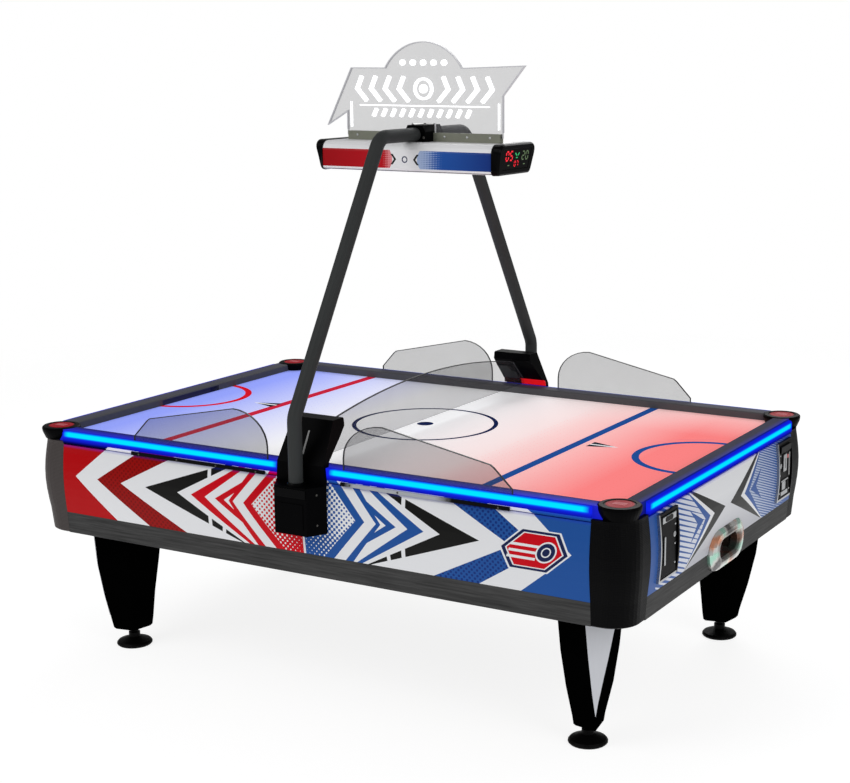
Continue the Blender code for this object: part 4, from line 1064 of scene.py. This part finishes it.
for end, sx in ENDS.items():
    for side, sy in SIDES.items():
        for index, x in enumerate((0.090, 0.180, 0.270)):
            place = (sx * x, sy * 0.0110, 1.8440)
            screw_head(f"channel_screw_{end}_{side}_{index}", place, (0.0, sy, 0.0), 0.0042)
for side, sy in SIDES.items():
    for sx in (-1, 1):
        for name, place, outward in (("clamp_bolt", (sx * 0.036, sy * 0.0602, 1.842), (0.0, sy, 0.0)),
                                     ("clamp_top_bolt", (sx * 0.020, sy * 0.040, 1.8842), (0.0, 0.0, 1.0))):
            screw_head(f"{name}_{side}_{sx + 1}", place, outward, 0.0050, paint=dark_screw)

# ---------------------------------------------------------------- floor, light and camera
floor_mesh = bmesh.new()
bmesh.ops.create_circle(floor_mesh, cap_ends=True, radius=14.0, segments=96)
floor_data = bpy.data.meshes.new("floor")
floor_mesh.to_mesh(floor_data)
floor_mesh.free()
floor_paint = Paint("studio_floor", (0.30, 0.30, 0.30), 0.75, Specular_IOR_Level=0.0)
floor_x, floor_y = floor_paint.place()[:2]
floor_paint.vary(floor_paint.noise(1.2, detail=2.0), 0.995, 1.005)
floor_paint.shader.inputs["Emission Color"].default_value = (1.0, 1.0, 1.0, 1.0)
floor_paint.shader.inputs["Emission Strength"].default_value = 0.84
floor_paint.feed(floor_paint.shader.inputs["Alpha"], floor_x.hypot(floor_y).ramp(7.0, 2.6))
floor_data.materials.append(floor_paint.material)
floor = bpy.data.objects.new("floor", floor_data)
floor.location.z = -0.0005
bpy.context.scene.collection.objects.link(floor)

world = bpy.data.worlds.new("studio")
world.use_nodes = True
background = world.node_tree.nodes["Background"]
ray = world.node_tree.nodes.new("ShaderNodeLightPath")
level = world.node_tree.nodes.new("ShaderNodeMapRange")
level.inputs["To Min"].default_value = 0.28
level.inputs["To Max"].default_value = 1.0
world.node_tree.links.new(ray.outputs["Is Camera Ray"], level.inputs["Value"])
world.node_tree.links.new(level.outputs["Result"], background.inputs["Strength"])
background.inputs["Color"].default_value = (1.0, 1.0, 1.0, 1.0)
bpy.context.scene.world = world


def area_light(name, place, target, size, power):
    light = bpy.data.lights.new(name, "AREA")
    light.size = size
    light.energy = power
    lamp = bpy.data.objects.new(name, light)
    lamp.location = place
    lamp.rotation_euler = (Vector(target) - Vector(place)).to_track_quat("-Z", "Y").to_euler()
    bpy.context.scene.collection.objects.link(lamp)


area_light("key", (-2.4, -4.6, 4.2), (0.0, 0.0, 0.7), 3.6, 105.0)
area_light("fill", (5.0, -2.2, 3.0), (0.4, 0.0, 0.6), 3.0, 80.0)
area_light("back", (-1.0, 4.6, 4.0), (0.0, 0.0, 0.8), 3.6, 130.0)

CAMERA_PLACE = (3.0609, -4.9647, 2.1337)
CAMERA_PITCH, CAMERA_YAW = -11.62, 118.71
camera_data = bpy.data.cameras.new("camera")
camera_data.lens = 70.1
camera_data.sensor_width = 36.0
camera_data.shift_x = -0.1
camera_data.clip_end = 60.0
camera = bpy.data.objects.new("camera", camera_data)
camera.location = CAMERA_PLACE
camera.rotation_euler = (math.radians(90.0 + CAMERA_PITCH), 0.0, math.radians(CAMERA_YAW - 90.0))
bpy.context.scene.collection.objects.link(camera)
bpy.context.scene.camera = camera
bpy.context.scene.view_settings.view_transform = "Standard"

bpy.context.view_layer.update()
